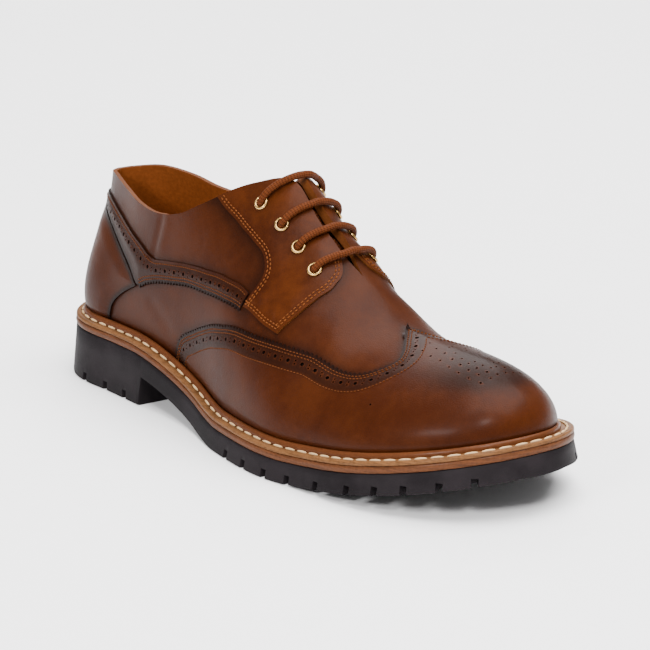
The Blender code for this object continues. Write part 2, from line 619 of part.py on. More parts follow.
    # eyelets and the bars of lace between them
    for number, (share, height, crossing) in enumerate(EYELETS, 1):
        for side, word in ((LATERAL, "lateral"), (MEDIAL, "medial")):
            frame = eyelet_frame(side, share, height)
            add_eyelet(f"eyelet_{word}_{number}", frame, materials["eyelet"], parts)
        add_lace_bar(f"lace_bar_{number}", share, height, crossing, materials["lace"], parts)


build()
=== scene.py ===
from math import pi, radians

import bmesh
import bpy
import numpy as np
from mathutils import Matrix, Vector


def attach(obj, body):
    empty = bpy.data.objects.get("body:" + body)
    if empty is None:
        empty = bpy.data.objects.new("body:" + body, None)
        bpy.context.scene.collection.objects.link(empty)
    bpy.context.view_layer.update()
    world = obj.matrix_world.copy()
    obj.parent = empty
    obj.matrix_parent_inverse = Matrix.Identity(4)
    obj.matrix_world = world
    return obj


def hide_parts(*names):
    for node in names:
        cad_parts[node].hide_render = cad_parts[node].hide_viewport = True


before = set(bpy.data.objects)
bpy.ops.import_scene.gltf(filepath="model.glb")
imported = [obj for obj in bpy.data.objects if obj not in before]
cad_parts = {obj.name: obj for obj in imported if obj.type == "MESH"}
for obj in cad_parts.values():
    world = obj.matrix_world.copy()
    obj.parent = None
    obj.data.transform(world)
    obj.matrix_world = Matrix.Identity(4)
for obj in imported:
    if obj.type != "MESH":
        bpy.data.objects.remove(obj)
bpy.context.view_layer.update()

lateral, medial = -1, 1
sides = ((lateral, "lateral"), (medial, "medial"))
print("frame loaded")

# The last, in the shoe's own lengths: x from the back of the heel, y from its axis, metres.
shoe = {
    "length": 0.308, "ballWidth": 0.110, "instepHeight": 0.1153,
    "heelHeight": 0.0239, "heelLength": 0.077, "treadHeight": 0.0097,
    "midsole": 0.0034, "welt": 0.0020, "soleFlare": 0.0019,
    "toeSpring": 0.019, "toeSpringStart": 0.648,
    "heelRound": 0.040, "toeRound": 0.085, "toeLean": 0.004,
    "feather": 0.0065, "toeFeather": 0.0090,
    "throatEnd": 0.65, "centre": Vector((0.154, -0.00227, 0)),
}

soleOutline = np.array([
    # x, lateral, medial
    (0.00, 0.345, 0.330),
    (0.12, 0.322, 0.330),
    (0.25, 0.343, 0.315),
    (0.38, 0.378, 0.285),
    (0.50, 0.474, 0.320),
    (0.62, 0.522, 0.400),
    (0.70, 0.502, 0.460),
    (0.80, 0.493, 0.490),
    (0.90, 0.479, 0.500),
    (1.00, 0.466, 0.463),
])

lastRibs = np.array([
    # share, top x, ridge, half gap, top z, rise, lateral lean, medial lean, reach, drop
    (0.00, 0.0300, 0.0000, 0.0000, 0.808, 20, 4.5, 4.5, 3.0, 29.0),
    (0.05, 0.0430, 0.0125, 0.0675, 0.813, 20, 4.5, 4.5, 3.0, 29.0),
    (0.10, 0.0750, 0.0250, 0.1300, 0.820, 20, 4.5, 4.5, 3.0, 29.0),
    (0.15, 0.1280, 0.0210, 0.1830, 0.804, 20, 4.0, 4.0, 3.0, 29.0),
    (0.20, 0.1880, -0.0035, 0.2145, 0.785, 20, 3.5, 4.0, 3.0, 28.0),
    (0.25, 0.2500, -0.0160, 0.2380, 0.782, 21, 3.0, 5.0, 3.0, 28.0),
    (0.30, 0.3080, -0.0120, 0.2500, 0.813, 23, 3.0, 6.0, 3.5, 29.0),
    (0.35, 0.3510, -0.0040, 0.2410, 0.870, 25, 3.0, 7.0, 6.0, 28.0),
    (0.40, 0.3900, -0.0040, 0.1960, 0.928, 27, 3.5, 8.0, 11.0, 24.0),
    (0.45, 0.4330, -0.0100, 0.1130, 0.978, 29, 4.0, 8.0, 17.0, 17.0),
    (0.50, 0.4840, -0.0225, 0.0245, 1.000, 29, 4.5, 7.0, 21.0, 14.0),
    (0.55, 0.5360, -0.0225, 0.0225, 0.880, 26, 5.0, 6.0, 22.0, 13.0),
    (0.60, 0.5880, -0.0200, 0.0250, 0.787, 23, 5.0, 5.0, 23.0, 11.0),
    (0.65, 0.6250, -0.0060, 0.0000, 0.698, 20, 5.0, 4.5, 23.0, 6.0),
    (0.70, 0.6760, 0.0100, 0.0000, 0.586, 18, 4.5, 4.0, 23.0, 4.5),
    (0.75, 0.7240, 0.0180, 0.0000, 0.533, 17, 4.0, 4.0, 23.0, 3.4),
    (0.80, 0.7660, 0.0250, 0.0000, 0.518, 17, 3.5, 3.0, 23.0, 2.8),
    (0.85, 0.8030, 0.0300, 0.0000, 0.513, 16, 3.0, 2.5, 22.0, 2.6),
    (0.90, 0.8330, 0.0340, 0.0000, 0.510, 15, 2.5, 2.0, 21.0, 2.4),
    (0.95, 0.8500, 0.0360, 0.0000, 0.508, 15, 2.0, 2.0, 21.0, 2.4),
    (1.00, 0.8560, 0.0360, 0.0000, 0.506, 15, 2.0, 2.0, 21.0, 2.4),
])


def smooth(table, at, column):
    across, value = table[:, 0], table[:, column]
    gap = np.diff(across)
    slope = np.diff(value) / gap
    inner = (slope[:-1] * gap[1:] + slope[1:] * gap[:-1]) / (gap[1:] + gap[:-1])
    tangent = np.concatenate([slope[:1], inner, slope[-1:]])
    at = np.clip(at, across[0], across[-1])
    i = np.clip(np.searchsorted(across, at, side="right") - 1, 0, len(across) - 2)
    width = across[i + 1] - across[i]
    t = (at - across[i]) / width
    start = (2 * t**3 - 3 * t**2 + 1) * value[i] + (t**3 - 2 * t**2 + t) * width * tangent[i]
    end = (3 * t**2 - 2 * t**3) * value[i + 1] + (t**3 - t**2) * width * tangent[i + 1]
    return start + end


def ease(t):
    t = np.clip(t, 0, 1)
    return t * t * (3 - 2 * t)


def fade(distance, reach, power=2):
    return np.exp(-(distance / reach) ** power)


def unit(vectors):
    return vectors / (np.linalg.norm(vectors, axis=-1)[..., None] + 1e-12)


def runOf(points):
    # length along a line of points, up to each of them
    return np.concatenate([[0], np.cumsum(np.linalg.norm(np.diff(points, axis=0), axis=1))])


def resample(at, run, rows):
    return np.stack([np.interp(at, run, column) for column in rows.T], -1)


def stations(count):
    # places from heel to toe, closer together at both ends
    return shoe["length"] * (1 - np.cos(np.linspace(0, pi, count))) / 2


def toeSpring(x):
    share = (x / shoe["length"] - shoe["toeSpringStart"]) / (1 - shoe["toeSpringStart"])
    return shoe["toeSpring"] * np.clip(share, 0, 1) ** 1.54


def soleTop(x):
    arch = ease((x / shoe["length"] - 0.212) / 0.277)
    return shoe["heelHeight"] + (shoe["treadHeight"] - shoe["heelHeight"]) * arch + toeSpring(x)


def weltTop(x):
    return soleTop(x) + shoe["midsole"] + shoe["welt"]


def halfOutline(side, count=500):
    x = stations(count)
    width = smooth(soleOutline, x / shoe["length"], 1 if side == lateral else 2) * shoe["ballWidth"]
    heel = np.clip((shoe["heelRound"] - x) / shoe["heelRound"], 0, 1)
    toe = np.clip((x - (shoe["length"] - shoe["toeRound"])) / shoe["toeRound"], 0, 1)
    cap = np.sqrt(np.clip(1 - heel**2.2, 0, 1)) * np.clip(1 - toe**2.3, 0, 1) ** (1 / 2.1)
    lean = shoe["toeLean"] * ease((x - (shoe["length"] - 2 * shoe["toeRound"])) / shoe["toeRound"])
    points = np.stack([x, lean + (side * width - lean) * cap], 1)
    along = unit(np.gradient(points, axis=0))
    out = np.stack([along[:, 1], -along[:, 0]], 1) * -side
    out[0] = (-1, 0)
    out[-1] = (1, 0)
    return points, out


def featherInset(x):
    share = ease((x / shoe["length"] - 0.6) / 0.35)
    return shoe["feather"] + (shoe["toeFeather"] - shoe["feather"]) * share


def insetLine(side, share, inset):
    points, out = halfOutline(side)
    line = points - out * inset(points[:, 0])[:, None]
    run = runOf(line)
    run /= run[-1]
    return resample(share, run, line), unit(resample(share, run, out))


def rib(side, share, height):
    share, height = np.broadcast_arrays(np.asarray(share, float), np.asarray(height, float))
    foot, out = insetLine(side, share, featherInset)
    ridge = smooth(lastRibs, share, 2)
    halfGap = np.maximum(smooth(lastRibs, share, 3), 0)
    halfGap = np.where(share < shoe["throatEnd"] - 1e-6, halfGap, 0)
    topY = (ridge + side * halfGap) * shoe["ballWidth"]
    topX = smooth(lastRibs, share, 1) * shoe["length"]
    topZ = smooth(lastRibs, share, 4) * shoe["instepHeight"]
    lean = smooth(lastRibs, share, 6 if side == lateral else 7) * 0.001
    rise, reach, drop = (smooth(lastRibs, share, column) * 0.001 for column in (5, 8, 9))
    start = np.stack([foot[..., 0], foot[..., 1], weltTop(foot[..., 0]) + 0.0003], -1)
    end = np.stack([topX, topY, topZ], -1)
    away = unit(foot - np.stack([topX, ridge * shoe["ballWidth"]], -1))
    low = start + np.stack([out[..., 0] * lean, out[..., 1] * lean, rise], -1)
    high = end + np.stack([away[..., 0] * reach, away[..., 1] * reach, -drop], -1)
    t = height[..., None]
    return (1 - t)**3 * start + 3 * (1 - t)**2 * t * low + 3 * (1 - t) * t * t * high + t**3 * end


def ribNormal(side, share, height):
    step = 0.004
    height = np.minimum(height, 1 - 0.04 * ease((share - 0.8) / 0.1))
    low, high = np.clip(share - step, 0, 1), np.clip(share + step, 0, 1)
    along = rib(side, high, height) - rib(side, low, height)
    down, up = np.clip(height - step, 0, 1), np.clip(height + step, 0, 1)
    return unit(np.cross(along, rib(side, share, up) - rib(side, share, down)) * -side)


# Soft troughs of the leather, where it has been bent over the last and by handling.
creaseUnits = {"perShare": 370, "perHeight": 82}
creases = (
    # side, from share, height, to share, height, depth and width in mm
    (lateral, 0.262, 0.98, 0.250, 0.72, 0.45, 2.2),
    (lateral, 0.275, 0.97, 0.268, 0.80, -0.25, 3.0),
    (lateral, 0.330, 0.72, 0.372, 0.78, 0.25, 4.0),
    (lateral, 0.545, 0.55, 0.575, 0.60, 0.35, 2.4),
    (lateral, 0.530, 0.51, 0.560, 0.53, 0.30, 2.0),
    (lateral, 0.625, 0.70, 0.655, 0.84, 0.30, 4.5),
    (lateral, 0.300, 0.20, 0.262, 0.34, 0.30, 5.0),
    (medial, 0.255, 0.97, 0.245, 0.75, 0.40, 2.4),
    (medial, 0.335, 0.70, 0.375, 0.79, 0.25, 4.0),
    (medial, 0.550, 0.54, 0.580, 0.60, 0.30, 2.4),
    (medial, 0.630, 0.68, 0.655, 0.82, 0.30, 4.5),
)


def relief(side, share, height):
    def measured(share, height):
        return share * creaseUnits["perShare"], height * creaseUnits["perHeight"]

    along, up = measured(share, height)
    total = np.zeros(np.shape(share))
    for at, shareA, heightA, shareB, heightB, depth, width in creases:
        if at != side:
            continue
        start = np.array(measured(shareA, heightA))
        run = np.array(measured(shareB, heightB)) - start
        t = np.clip(((along - start[0]) * run[0] + (up - start[1]) * run[1]) / (run @ run), 0, 1)
        off = (along - start[0] - t * run[0]) ** 2 + (up - start[1] - t * run[1]) ** 2
        total -= 0.001 * depth * np.exp(-off / width**2)
    return total


def skin(side, share, height, lift):
    share, height = np.broadcast_arrays(np.asarray(share, float), np.asarray(height, float))
    normal = ribNormal(side, share, height)
    other = ribNormal(-side, share, height)
    seam = (share < 1e-6) | (share > 1 - 1e-6)
    seam |= (height > 1 - 1e-6) & (share >= shoe["throatEnd"] - 1e-6)
    normal = np.where(seam[..., None], unit(normal + other), normal)
    lift = np.broadcast_to(lift, share.shape) + relief(side, share, height)
    return rib(side, share, height) + normal * lift[..., None]


def signedSkin(share, height, lift):
    outer = skin(lateral, np.abs(share), height, lift)
    inner = skin(medial, np.abs(share), height, lift)
    return np.where((share < 0)[..., None], outer, inner)


def edgeAt(table, along):
    return np.stack([smooth(table, along, 1), np.minimum(smooth(table, along, 2), 1)], -1)


def patch(foot, top, left, right, along, up):
    low, high = edgeAt(foot, along)[:, None], edgeAt(top, along)[:, None]
    near, far = edgeAt(left, up)[None], edgeAt(right, up)[None]
    a, b = along[:, None, None], up[None, :, None]
    ruled = (1 - b) * low + b * high + (1 - a) * near + a * far
    corners = (1 - a) * ((1 - b) * low[0] + b * high[0]) + a * ((1 - b) * low[-1] + b * high[-1])
    return ruled - corners


def straight(start, end):
    return np.array([(0, start[1], start[2]), (1, end[1], end[2])])


# Edges of the leather pieces on the last: along the edge, rib share, height up the rib.
wingTop = np.array([
    (0.00, 0.323, 0.045), (0.05, 0.340, 0.205), (0.10, 0.380, 0.300), (0.15, 0.420, 0.345),
    (0.20, 0.465, 0.360), (0.25, 0.510, 0.375), (0.30, 0.555, 0.425), (0.35, 0.600, 0.470),
    (0.40, 0.645, 0.495), (0.45, 0.690, 0.515), (0.50, 0.730, 0.570), (0.55, 0.765, 0.710),
    (0.60, 0.765, 0.800), (0.65, 0.750, 0.900), (0.70, 0.735, 1.000), (1.00, 1.000, 1.000),
])
wingFoot = np.array([
    (0.00, 0.335, 0.030), (0.20, 0.460, 0.030), (0.40, 0.658, 0.030), (0.50, 0.765, 0.030),
    (0.55, 0.820, 0.030), (0.60, 0.875, 0.030), (0.65, 0.925, 0.030), (0.70, 0.955, 0.030),
    (1.00, 1.000, 0.030),
])
counterTop = np.array([
    (0.00, -0.222, 0.435), (0.125, -0.198, 0.555), (0.25, -0.160, 0.660), (0.375, -0.105, 0.755),
    (0.44, -0.050, 0.812), (0.50, 0.000, 0.830), (0.56, 0.050, 0.812),
    (0.625, 0.105, 0.755), (0.75, 0.160, 0.660), (0.875, 0.198, 0.555), (1.00, 0.222, 0.435),
])
counterFoot = np.array([(0.00, -0.155, 0.030), (1.00, 0.155, 0.030)])
counterFront = np.array([
    (0.00, 0.155, 0.030), (0.30, 0.165, 0.180), (0.65, 0.188, 0.310), (1.00, 0.222, 0.435),
])
bandFoot = np.array([
    (0.00, 0.000, 0.838), (0.10, 0.050, 0.821), (0.20, 0.108, 0.764), (0.30, 0.163, 0.669),
    (0.40, 0.202, 0.563), (0.46, 0.227, 0.447), (0.52, 0.247, 0.495), (0.60, 0.280, 0.545),
    (0.70, 0.335, 0.548), (0.80, 0.390, 0.508), (0.90, 0.443, 0.462), (1.00, 0.494, 0.430),
])
bandTop = np.array([
    (0.00, 0.000, 0.888), (0.10, 0.055, 0.882), (0.20, 0.120, 0.858), (0.30, 0.175, 0.820),
    (0.40, 0.220, 0.768), (0.50, 0.258, 0.705), (0.56, 0.285, 0.712), (0.60, 0.305, 0.705),
    (0.70, 0.357, 0.655), (0.80, 0.405, 0.598), (0.90, 0.455, 0.540), (1.00, 0.504, 0.500),
])
facingRear = np.array([
    (0.00, 0.500, 0.448), (0.15, 0.513, 0.530), (0.30, 0.520, 0.600), (0.45, 0.511, 0.645),
    (0.60, 0.485, 0.680), (0.75, 0.455, 0.755), (0.88, 0.420, 0.870), (1.00, 0.388, 1.000),
])
facingTop = np.array([(0.00, 0.388, 1.000), (0.50, 0.500, 1.000), (1.00, 0.600, 1.000)])
facingFront = np.array([
    (0.00, 0.578, 0.487), (0.25, 0.598, 0.610), (0.50, 0.614, 0.725), (0.75, 0.626, 0.830),
    (0.90, 0.622, 0.920), (1.00, 0.600, 1.000),
])
facingFoot = np.array([(0.00, 0.500, 0.448), (0.50, 0.537, 0.465), (1.00, 0.578, 0.487)])
eyeletPlaces = ((0.475, 0.850), (0.517, 0.800), (0.552, 0.820), (0.590, 0.815))
laceCrossings = (0.498, 0.534, 0.570, 0.610)
wingPeak, wingGimpEnd = 0.70, 0.535
gimpStart = 0.46


def evenly(side, table, spacing, low=0.0, high=1.0):
    # values along an edge table that lie at equal distances on the last
    fine = np.linspace(low, high, 800)
    run = runOf(skin(side, *edgeAt(table, fine).T, 0))
    count = max(2, round(run[-1] / spacing) + 1)
    return np.interp(np.linspace(0, run[-1], count), run, fine)


def spaced(side, places, spacing, start=0.0):
    # places at equal distances along a line of places
    run = runOf(skin(side, *places.T, 0))
    return resample(np.arange(start, run[-1], spacing), run, places)


def offsetLine(side, places, distance, steps=6):
    # a line of places moved across itself, over the last; positive is up from heel-to-toe lines
    first = skin(side, *places.T, 0)
    for _ in range(steps):
        share, height = places.T
        step = 0.002
        high, low = np.clip(share + step, 0, 1), np.clip(share - step, 0, 1)
        alongShare = (rib(side, high, height) - rib(side, low, height)) / (high - low)[:, None]
        high, low = np.clip(height + step, 0, 1), np.clip(height - step, 0, 1)
        alongHeight = (rib(side, share, high) - rib(side, share, low)) / (high - low)[:, None]
        tangent = unit(np.gradient(rib(side, share, height), axis=0))
        way = unit(np.cross(ribNormal(side, share, height), tangent)) * -side
        a, b, c = ((p * q).sum(1) for p, q in (
            (alongShare, alongShare), (alongShare, alongHeight), (alongHeight, alongHeight)))
        p, q = (alongShare * way).sum(1), (alongHeight * way).sum(1)
        change = np.stack([c * p - b * q, a * q - b * p], 1) / (a * c - b * b)[:, None]
        places = places + change * distance / steps
        places = np.stack([np.clip(places[:, 0], 0, 1), np.clip(places[:, 1], 0, 1.02)], 1)
    moved = skin(side, *places.T, 0)
    gap = np.linalg.norm(moved[:, None] - first[None], axis=2).min(1)
    return places[(gap > abs(distance) * 0.94) & (places[:, 1] <= 1)]


def distanceTo(points, line):
    flat = points.reshape(-1, 3)
    parts = [np.linalg.norm(chunk[:, None] - line[None], axis=2).min(1)
             for chunk in np.array_split(flat, max(1, len(flat) // 2000))]
    return np.concatenate(parts).reshape(points.shape[:-1])


# Shader maths written as Python expressions.
class Wire:
    def __init__(self, look, socket):
        self.look = look
        self.socket = socket

    def math(self, operation, first, second):
        return self.look.node("ShaderNodeMath", {"operation": operation}, {0: first, 1: second})

    def __add__(self, other):
        return self.math("ADD", self, other)

    def __sub__(self, other):
        return self.math("SUBTRACT", self, other)

    def __rsub__(self, other):
        return self.math("SUBTRACT", other, self)

    def __mul__(self, other):
        return self.math("MULTIPLY", self, other)

    __radd__ = __add__
    __rmul__ = __mul__

    def band(self, low, high, lowTo=0.0, highTo=1.0):
        # eased from one value to another between two levels
        levels = {0: self, 1: low, 2: high, 3: lowTo, 4: highTo}
        return self.look.node("ShaderNodeMapRange", {"interpolation_type": "SMOOTHSTEP"}, levels)


class Look:
    def __init__(self, name, color, roughness, metallic=0.0, coat=0.0):
        coatRoughness, shine = 0.20, 0.04
        self.material = bpy.data.materials.new(name)
        self.material.use_nodes = True
        self.tree = self.material.node_tree
        self.shader = self.tree.nodes["Principled BSDF"]
        for key, value in (
                ("Base Color", (*color, 1)), ("Roughness", roughness), ("Metallic", metallic),
                ("Specular IOR Level", shine), ("Coat Weight", coat),
                ("Coat Roughness", coatRoughness)):
            self.set(key, value)
        self.material.diffuse_color = (*color, 1)

    def node(self, kind, settings=None, inputs=None, output=0):
        made = self.tree.nodes.new(kind)
        for key, value in (settings or {}).items():
            setattr(made, key, value)
        for key, value in (inputs or {}).items():
            if isinstance(value, Wire):
                self.tree.links.new(value.socket, made.inputs[key])
            else:
                made.inputs[key].default_value = value
        return Wire(self, made.outputs[output])

    def set(self, name, value):
        if isinstance(value, Wire):
            self.tree.links.new(value.socket, self.shader.inputs[name])
        else:
            self.shader.inputs[name].default_value = value

    def place(self):
        return self.node("ShaderNodeTexCoord", output="Object")

    def uv(self):
        return self.node("ShaderNodeUVMap", {"uv_map": "surface"})

    def attribute(self, name):
        return self.node("ShaderNodeAttribute", {"attribute_name": name}, output="Fac")

    def noise(self, where, scale, detail=2.0, roughness=0.5):
        inputs = {"Vector": where, "Scale": scale, "Detail": detail, "Roughness": roughness}
        return self.node("ShaderNodeTexNoise", None, inputs)

    def cells(self, where, scale):
        return self.node("ShaderNodeTexVoronoi", None, {"Vector": where, "Scale": scale})

    def blend(self, factor, first, second):
        pair = {0: factor}
        for key, value in ((6, first), (7, second)):
            pair[key] = value if isinstance(value, Wire) else (*value, 1)
        return self.node("ShaderNodeMix", {"data_type": "RGBA"}, pair, 2)

    def sine(self, value):
        return self.node("ShaderNodeMath", {"operation": "SINE"}, {0: value})

    def cover(self, factor, first, second, roughness, height, depth, strength=0.6):
        # two colours mixed by the factor, the gloss, and a bump of the height
        bump = {"Strength": strength, "Distance": depth, "Height": height}
        self.set("Base Color", self.blend(factor, first, second))
        self.set("Roughness", roughness)
        self.set("Normal", self.node("ShaderNodeBump", None, bump))
        return self.material


leatherTone = {
    "light": (0.038, 0.0086, 0.0017), "middle": (0.0255, 0.0053, 0.0011),
    "dark": (0.0055, 0.0018, 0.0010), "facing": (0.051, 0.0118, 0.0022),
    "edge": (0.085, 0.025, 0.006),
    "roughness": 0.36, "coat": 0.03,
}


def darker(color, share):
    return tuple(part * share for part in color)


def leather(name, light, middle):
    # smooth dyed hide: clouded colour, fine pores, and dark where its darkness attribute says:
    # burnish, and on the upper painted shadow beside the overlays' edges
    look = Look(name, middle, leatherTone["roughness"], coat=leatherTone["coat"])
    where = look.place()
    cloud = look.noise(where, 32, 3)
    mottle = look.noise(where, 210, 4, 0.6)
    wrinkle = look.noise(where, 900, 3, 0.6)
    color = look.blend((cloud * 0.7 + mottle * 0.3).band(0.36, 0.66), middle, light)
    # the darkness attribute darkens the colour: burnish, and painted shadow on the upper where an
    # overlay's edge lies
    burnishAndPaintedShadow = look.attribute("burnishAndPaintedShadow") * (0.82 + 0.36 * cloud) + (0.5 - mottle) * 0.10
    roughness = 0.30 + 0.12 * mottle + 0.10 * wrinkle
    height = look.cells(where, 1500) * 0.5 + wrinkle * 0.35 + mottle * 0.4
    burnishAndPaintedShadow = burnishAndPaintedShadow.band(0.0, 1.0, 0.0, 0.96)
    return look.cover(burnishAndPaintedShadow, color, leatherTone["dark"], roughness, height, 0.00022, 0.45)


def plain(name, color, roughness, scale, depth, variation=0.25, metallic=0.0, coat=0.0):
    # one finish with fine unevenness in its colour, gloss and surface
    look = Look(name, color, roughness, metallic, coat)
    where = look.place()
    grain = look.noise(where, scale, 4, 0.6)
    shade = (grain * 0.6 + look.noise(where, scale / 12, 2) * 0.4).band(0.35, 0.65)
    gloss = roughness - 0.08 + 0.16 * grain
    return look.cover(shade, darker(color, 1 - variation), color, gloss, grain, depth)


def edgeLeather(name, color):
    # trimmed edge of stacked leather: fine layers along the edge, a little burnt
    look = Look(name, color, 0.5, coat=0.08)
    where = look.place()
    flat = look.node("ShaderNodeMapping", None, {"Vector": where, "Scale": (60, 60, 1500)})
    streak = look.noise(flat, 1.0, 3, 0.6)
    rough = streak * 0.6 + look.noise(where, 700, 3, 0.6) * 0.4
    shade, gloss = rough.band(0.36, 0.62), 0.42 + 0.2 * streak
    return look.cover(shade, darker(color, 0.55), color, gloss, rough, 0.00025)


def rubber(name, color):
    look = Look(name, color, 0.5)
    where = look.place()
    fine = look.noise(where, 1500, 3, 0.6)
    shade, gloss = look.noise(where, 45, 3).band(0.35, 0.65), 0.44 + 0.22 * fine
    return look.cover(shade, darker(color, 0.6), color, gloss, fine, 0.00012, 0.5)


def cordCover(name, color):
    # round braided cord, its plaits drawn on the cord's own length and girth
    look = Look(name, color, 0.62)
    pitch, strands = 2400, 12
    along, around = (look.node("ShaderNodeSeparateXYZ", None, {0: look.uv()}, k) for k in (0, 1))
    turn = around * (strands * pi)
    plait = look.sine(along * pitch + turn) * look.sine(along * pitch - turn) * 0.5 + 0.5
    fuzz = look.noise(look.place(), 2600, 3, 0.7)
    # darker in the hollows between the plaits: painted shade in the braid's grooves
    shade = (plait * 0.7 + fuzz * 0.3).band(0.2, 0.75)
    height = plait + fuzz * 0.4
    return look.cover(shade, darker(color, 0.45), color, 0.5 + 0.2 * fuzz, height, 0.0003, 0.7)


finish = {
    "upper": leather("upper_leather", leatherTone["light"], leatherTone["middle"]),
    "facing": leather("facing_leather", leatherTone["facing"], leatherTone["middle"]),
    "edge": plain("cut_leather_edge", leatherTone["edge"], 0.55, 900, 0.0002),
    "darkEdge": plain("inked_leather_edge", (0.011, 0.0042, 0.0024), 0.45, 900, 0.0002),
    # near-black inside the punched holes: painted shade over the leather beneath
    "hole": plain("punched_hole_painted_shade", (0.008, 0.004, 0.003), 0.8, 900, 0.0001),
    "lining": plain("lining_leather", (0.168, 0.045, 0.0100), 0.55, 600, 0.0003),
    "sock": plain("sock_leather", (0.150, 0.040, 0.008), 0.55, 500, 0.0003),
    "tanEdge": edgeLeather("welt_edge", (0.092, 0.032, 0.0120)),
    "weltTop": edgeLeather("welt_top", (0.140, 0.060, 0.022)),
    "bead": plain("welt_bead", (0.085, 0.026, 0.008), 0.42, 800, 0.0002, coat=0.1),
    "rubber": rubber("sole_rubber", (0.0130, 0.0105, 0.0117)),
    "threadCream": plain("cream_thread", (0.56, 0.37, 0.20), 0.6, 3000, 0.0002),
    "threadBrown": plain("brown_thread", (0.085, 0.024, 0.006), 0.6, 3000, 0.0002),
    "threadLight": plain("light_thread", (0.130, 0.038, 0.009), 0.6, 3000, 0.0002),
    "lace": cordCover("lace_cord", (0.085, 0.0215, 0.0055)),
    "brass": plain("brass", (0.56, 0.34, 0.12), 0.24, 500, 0.00003, 0.3, metallic=1.0),
    "floor": plain("floor", (0.90, 0.89, 0.895), 0.85, 60, 0.00002, 0.01),
}
print("finishes made")


# Meshes are laid out from a grid of faces, then shaped.
def grid(bm, points, tags=None, uv=None):
    rows, columns = points.shape[:2]
    tags = tags or {}
    floats = bm.verts.layers.float
    marks = {name: floats.get(name) or floats.new(name) for name in tags}
    made = bmesh.ops.create_grid(bm, x_segments=columns - 1, y_segments=rows - 1, size=1)
    places = {}
    for vert in made["verts"]:
        column = round((vert.co.x + 1) / 2 * (columns - 1))
        row = round((vert.co.y + 1) / 2 * (rows - 1))
        vert.co = points[row, column]
        places[vert] = (row, column)
        for name, values in tags.items():
            vert[marks[name]] = values[row, column]
    if uv is not None:
        chart = bm.loops.layers.uv.get("surface") or bm.loops.layers.uv.new("surface")
        for face in {face for vert in made["verts"] for face in vert.link_faces}:
            for loop in face.loops:
                loop[chart].uv = uv[places[loop.vert]]


def weld(bm):
    bmesh.ops.remove_doubles(bm, verts=bm.verts[:], dist=0.00001)
    bmesh.ops.dissolve_degenerate(bm, dist=0.000001, edges=bm.edges[:])


def seal(bm):
    # welds a closed mesh and turns its faces outward
    weld(bm)
    bmesh.ops.recalc_face_normals(bm, faces=bm.faces[:])


def addObject(name, data):
    made = bpy.data.objects.new(name, data)
    bpy.context.scene.collection.objects.link(made)
    return made


def meshObject(name, bm, materials=(), shift=-shoe["centre"]):
    bmesh.ops.translate(bm, verts=bm.verts[:], vec=shift)
    mesh = bpy.data.meshes.new(name)
    bm.to_mesh(mesh)
    bm.free()
    for material in materials:
        mesh.materials.append(finish[material])
    return addObject(name, mesh)


def addPiece(name, bm, materials, replaced=()):
    piece = meshObject(name, bm, materials)
    piece.data.shade_smooth()
    if replaced:
        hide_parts(*replaced)
    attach(piece, "root")
    return piece


def settle(piece, angle=35):
    # the modifiers' result becomes the piece's own mesh, with its hard edges marked
    bpy.context.view_layer.update()
    graph = bpy.context.evaluated_depsgraph_get()
    mesh = bpy.data.meshes.new_from_object(piece.evaluated_get(graph))
    piece.modifiers.clear()
    piece.data = mesh
    mesh.shade_smooth()
    mesh.set_sharp_from_angle(angle=radians(angle))


def faceOut(bm):
    bmesh.ops.recalc_face_normals(bm, faces=bm.faces[:])
    outward = 0
    for face in bm.faces:
        middle = face.calc_center_median()
        core = Vector((min(max(middle.x, 0.04), shoe["length"] - 0.06), 0, 0.045))
        outward += face.normal.dot(middle - core) * face.calc_area()
    if outward < 0:
        bmesh.ops.reverse_faces(bm, faces=bm.faces[:])


def thicken(piece, thickness, inner=0, rim=0):
    solid = piece.modifiers.new("thickness", "SOLIDIFY")
    solid.thickness = thickness
    solid.offset = -1
    solid.material_offset = inner
    solid.material_offset_rim = rim


def cutAway(piece, tool):
    change = piece.modifiers.new("cut", "BOOLEAN")
    change.operation = "DIFFERENCE"
    change.solver = "MANIFOLD"
    change.object = tool


def punch(piece, cutter):
    # blind holes, finished near-black: painted shade inside the holes, over the dark leather
    # beneath
    tool = meshObject("punches", cutter, ("hole",))
    cutAway(piece, tool)
    settle(piece)
    bpy.data.objects.remove(tool, do_unlink=True)


def pointAt(side, place, lift=0.0):
    return skin(side, np.array([place[0]]), np.array([place[1]]), lift)[0]


def frameAt(side, place, lift):
    normal = Vector(ribNormal(side, np.array([place[0]]), np.array([place[1]]))[0])
    turn = normal.to_track_quat("Z", "Y").to_matrix().to_4x4()
    return Matrix.Translation(pointAt(side, place, lift)) @ turn


def addHole(bm, side, place, lift, radius, depth, sides=8):
    above = 0.0012
    middle = frameAt(side, place, lift) @ Matrix.Translation((0, 0, (above - depth) / 2))
    bmesh.ops.create_cone(
        bm, cap_ends=True, segments=sides, radius1=radius * 0.9, radius2=radius,
        depth=above + depth, matrix=middle)


def addStitches(bm, points, normals, look):
    # one thread loop lies along the line at each step, its ends sunk in the leather
    tangent = unit(np.gradient(points, axis=0))
    for at, along, up in zip(points, tangent, unit(normals)):
        across = unit(np.cross(up, along))
        turned = Matrix(np.column_stack([along, across, np.cross(along, across)]).tolist()).to_4x4()
        size = Matrix.Diagonal((look["length"] / 2, look["radius"], look["radius"], 1))
        place = Matrix.Translation(at + up * look["rise"])
        bmesh.ops.create_icosphere(
            bm, subdivisions=look["detail"], radius=1, matrix=place @ turned @ size)


layers = {
    "wall": 0.0020, "lift": 0.0018, "edgeLift": 0.0010, "skive": 0.009, "bury": 0.0002,
    "tooth": 0.0024, "toothDepth": 0.00075,
}


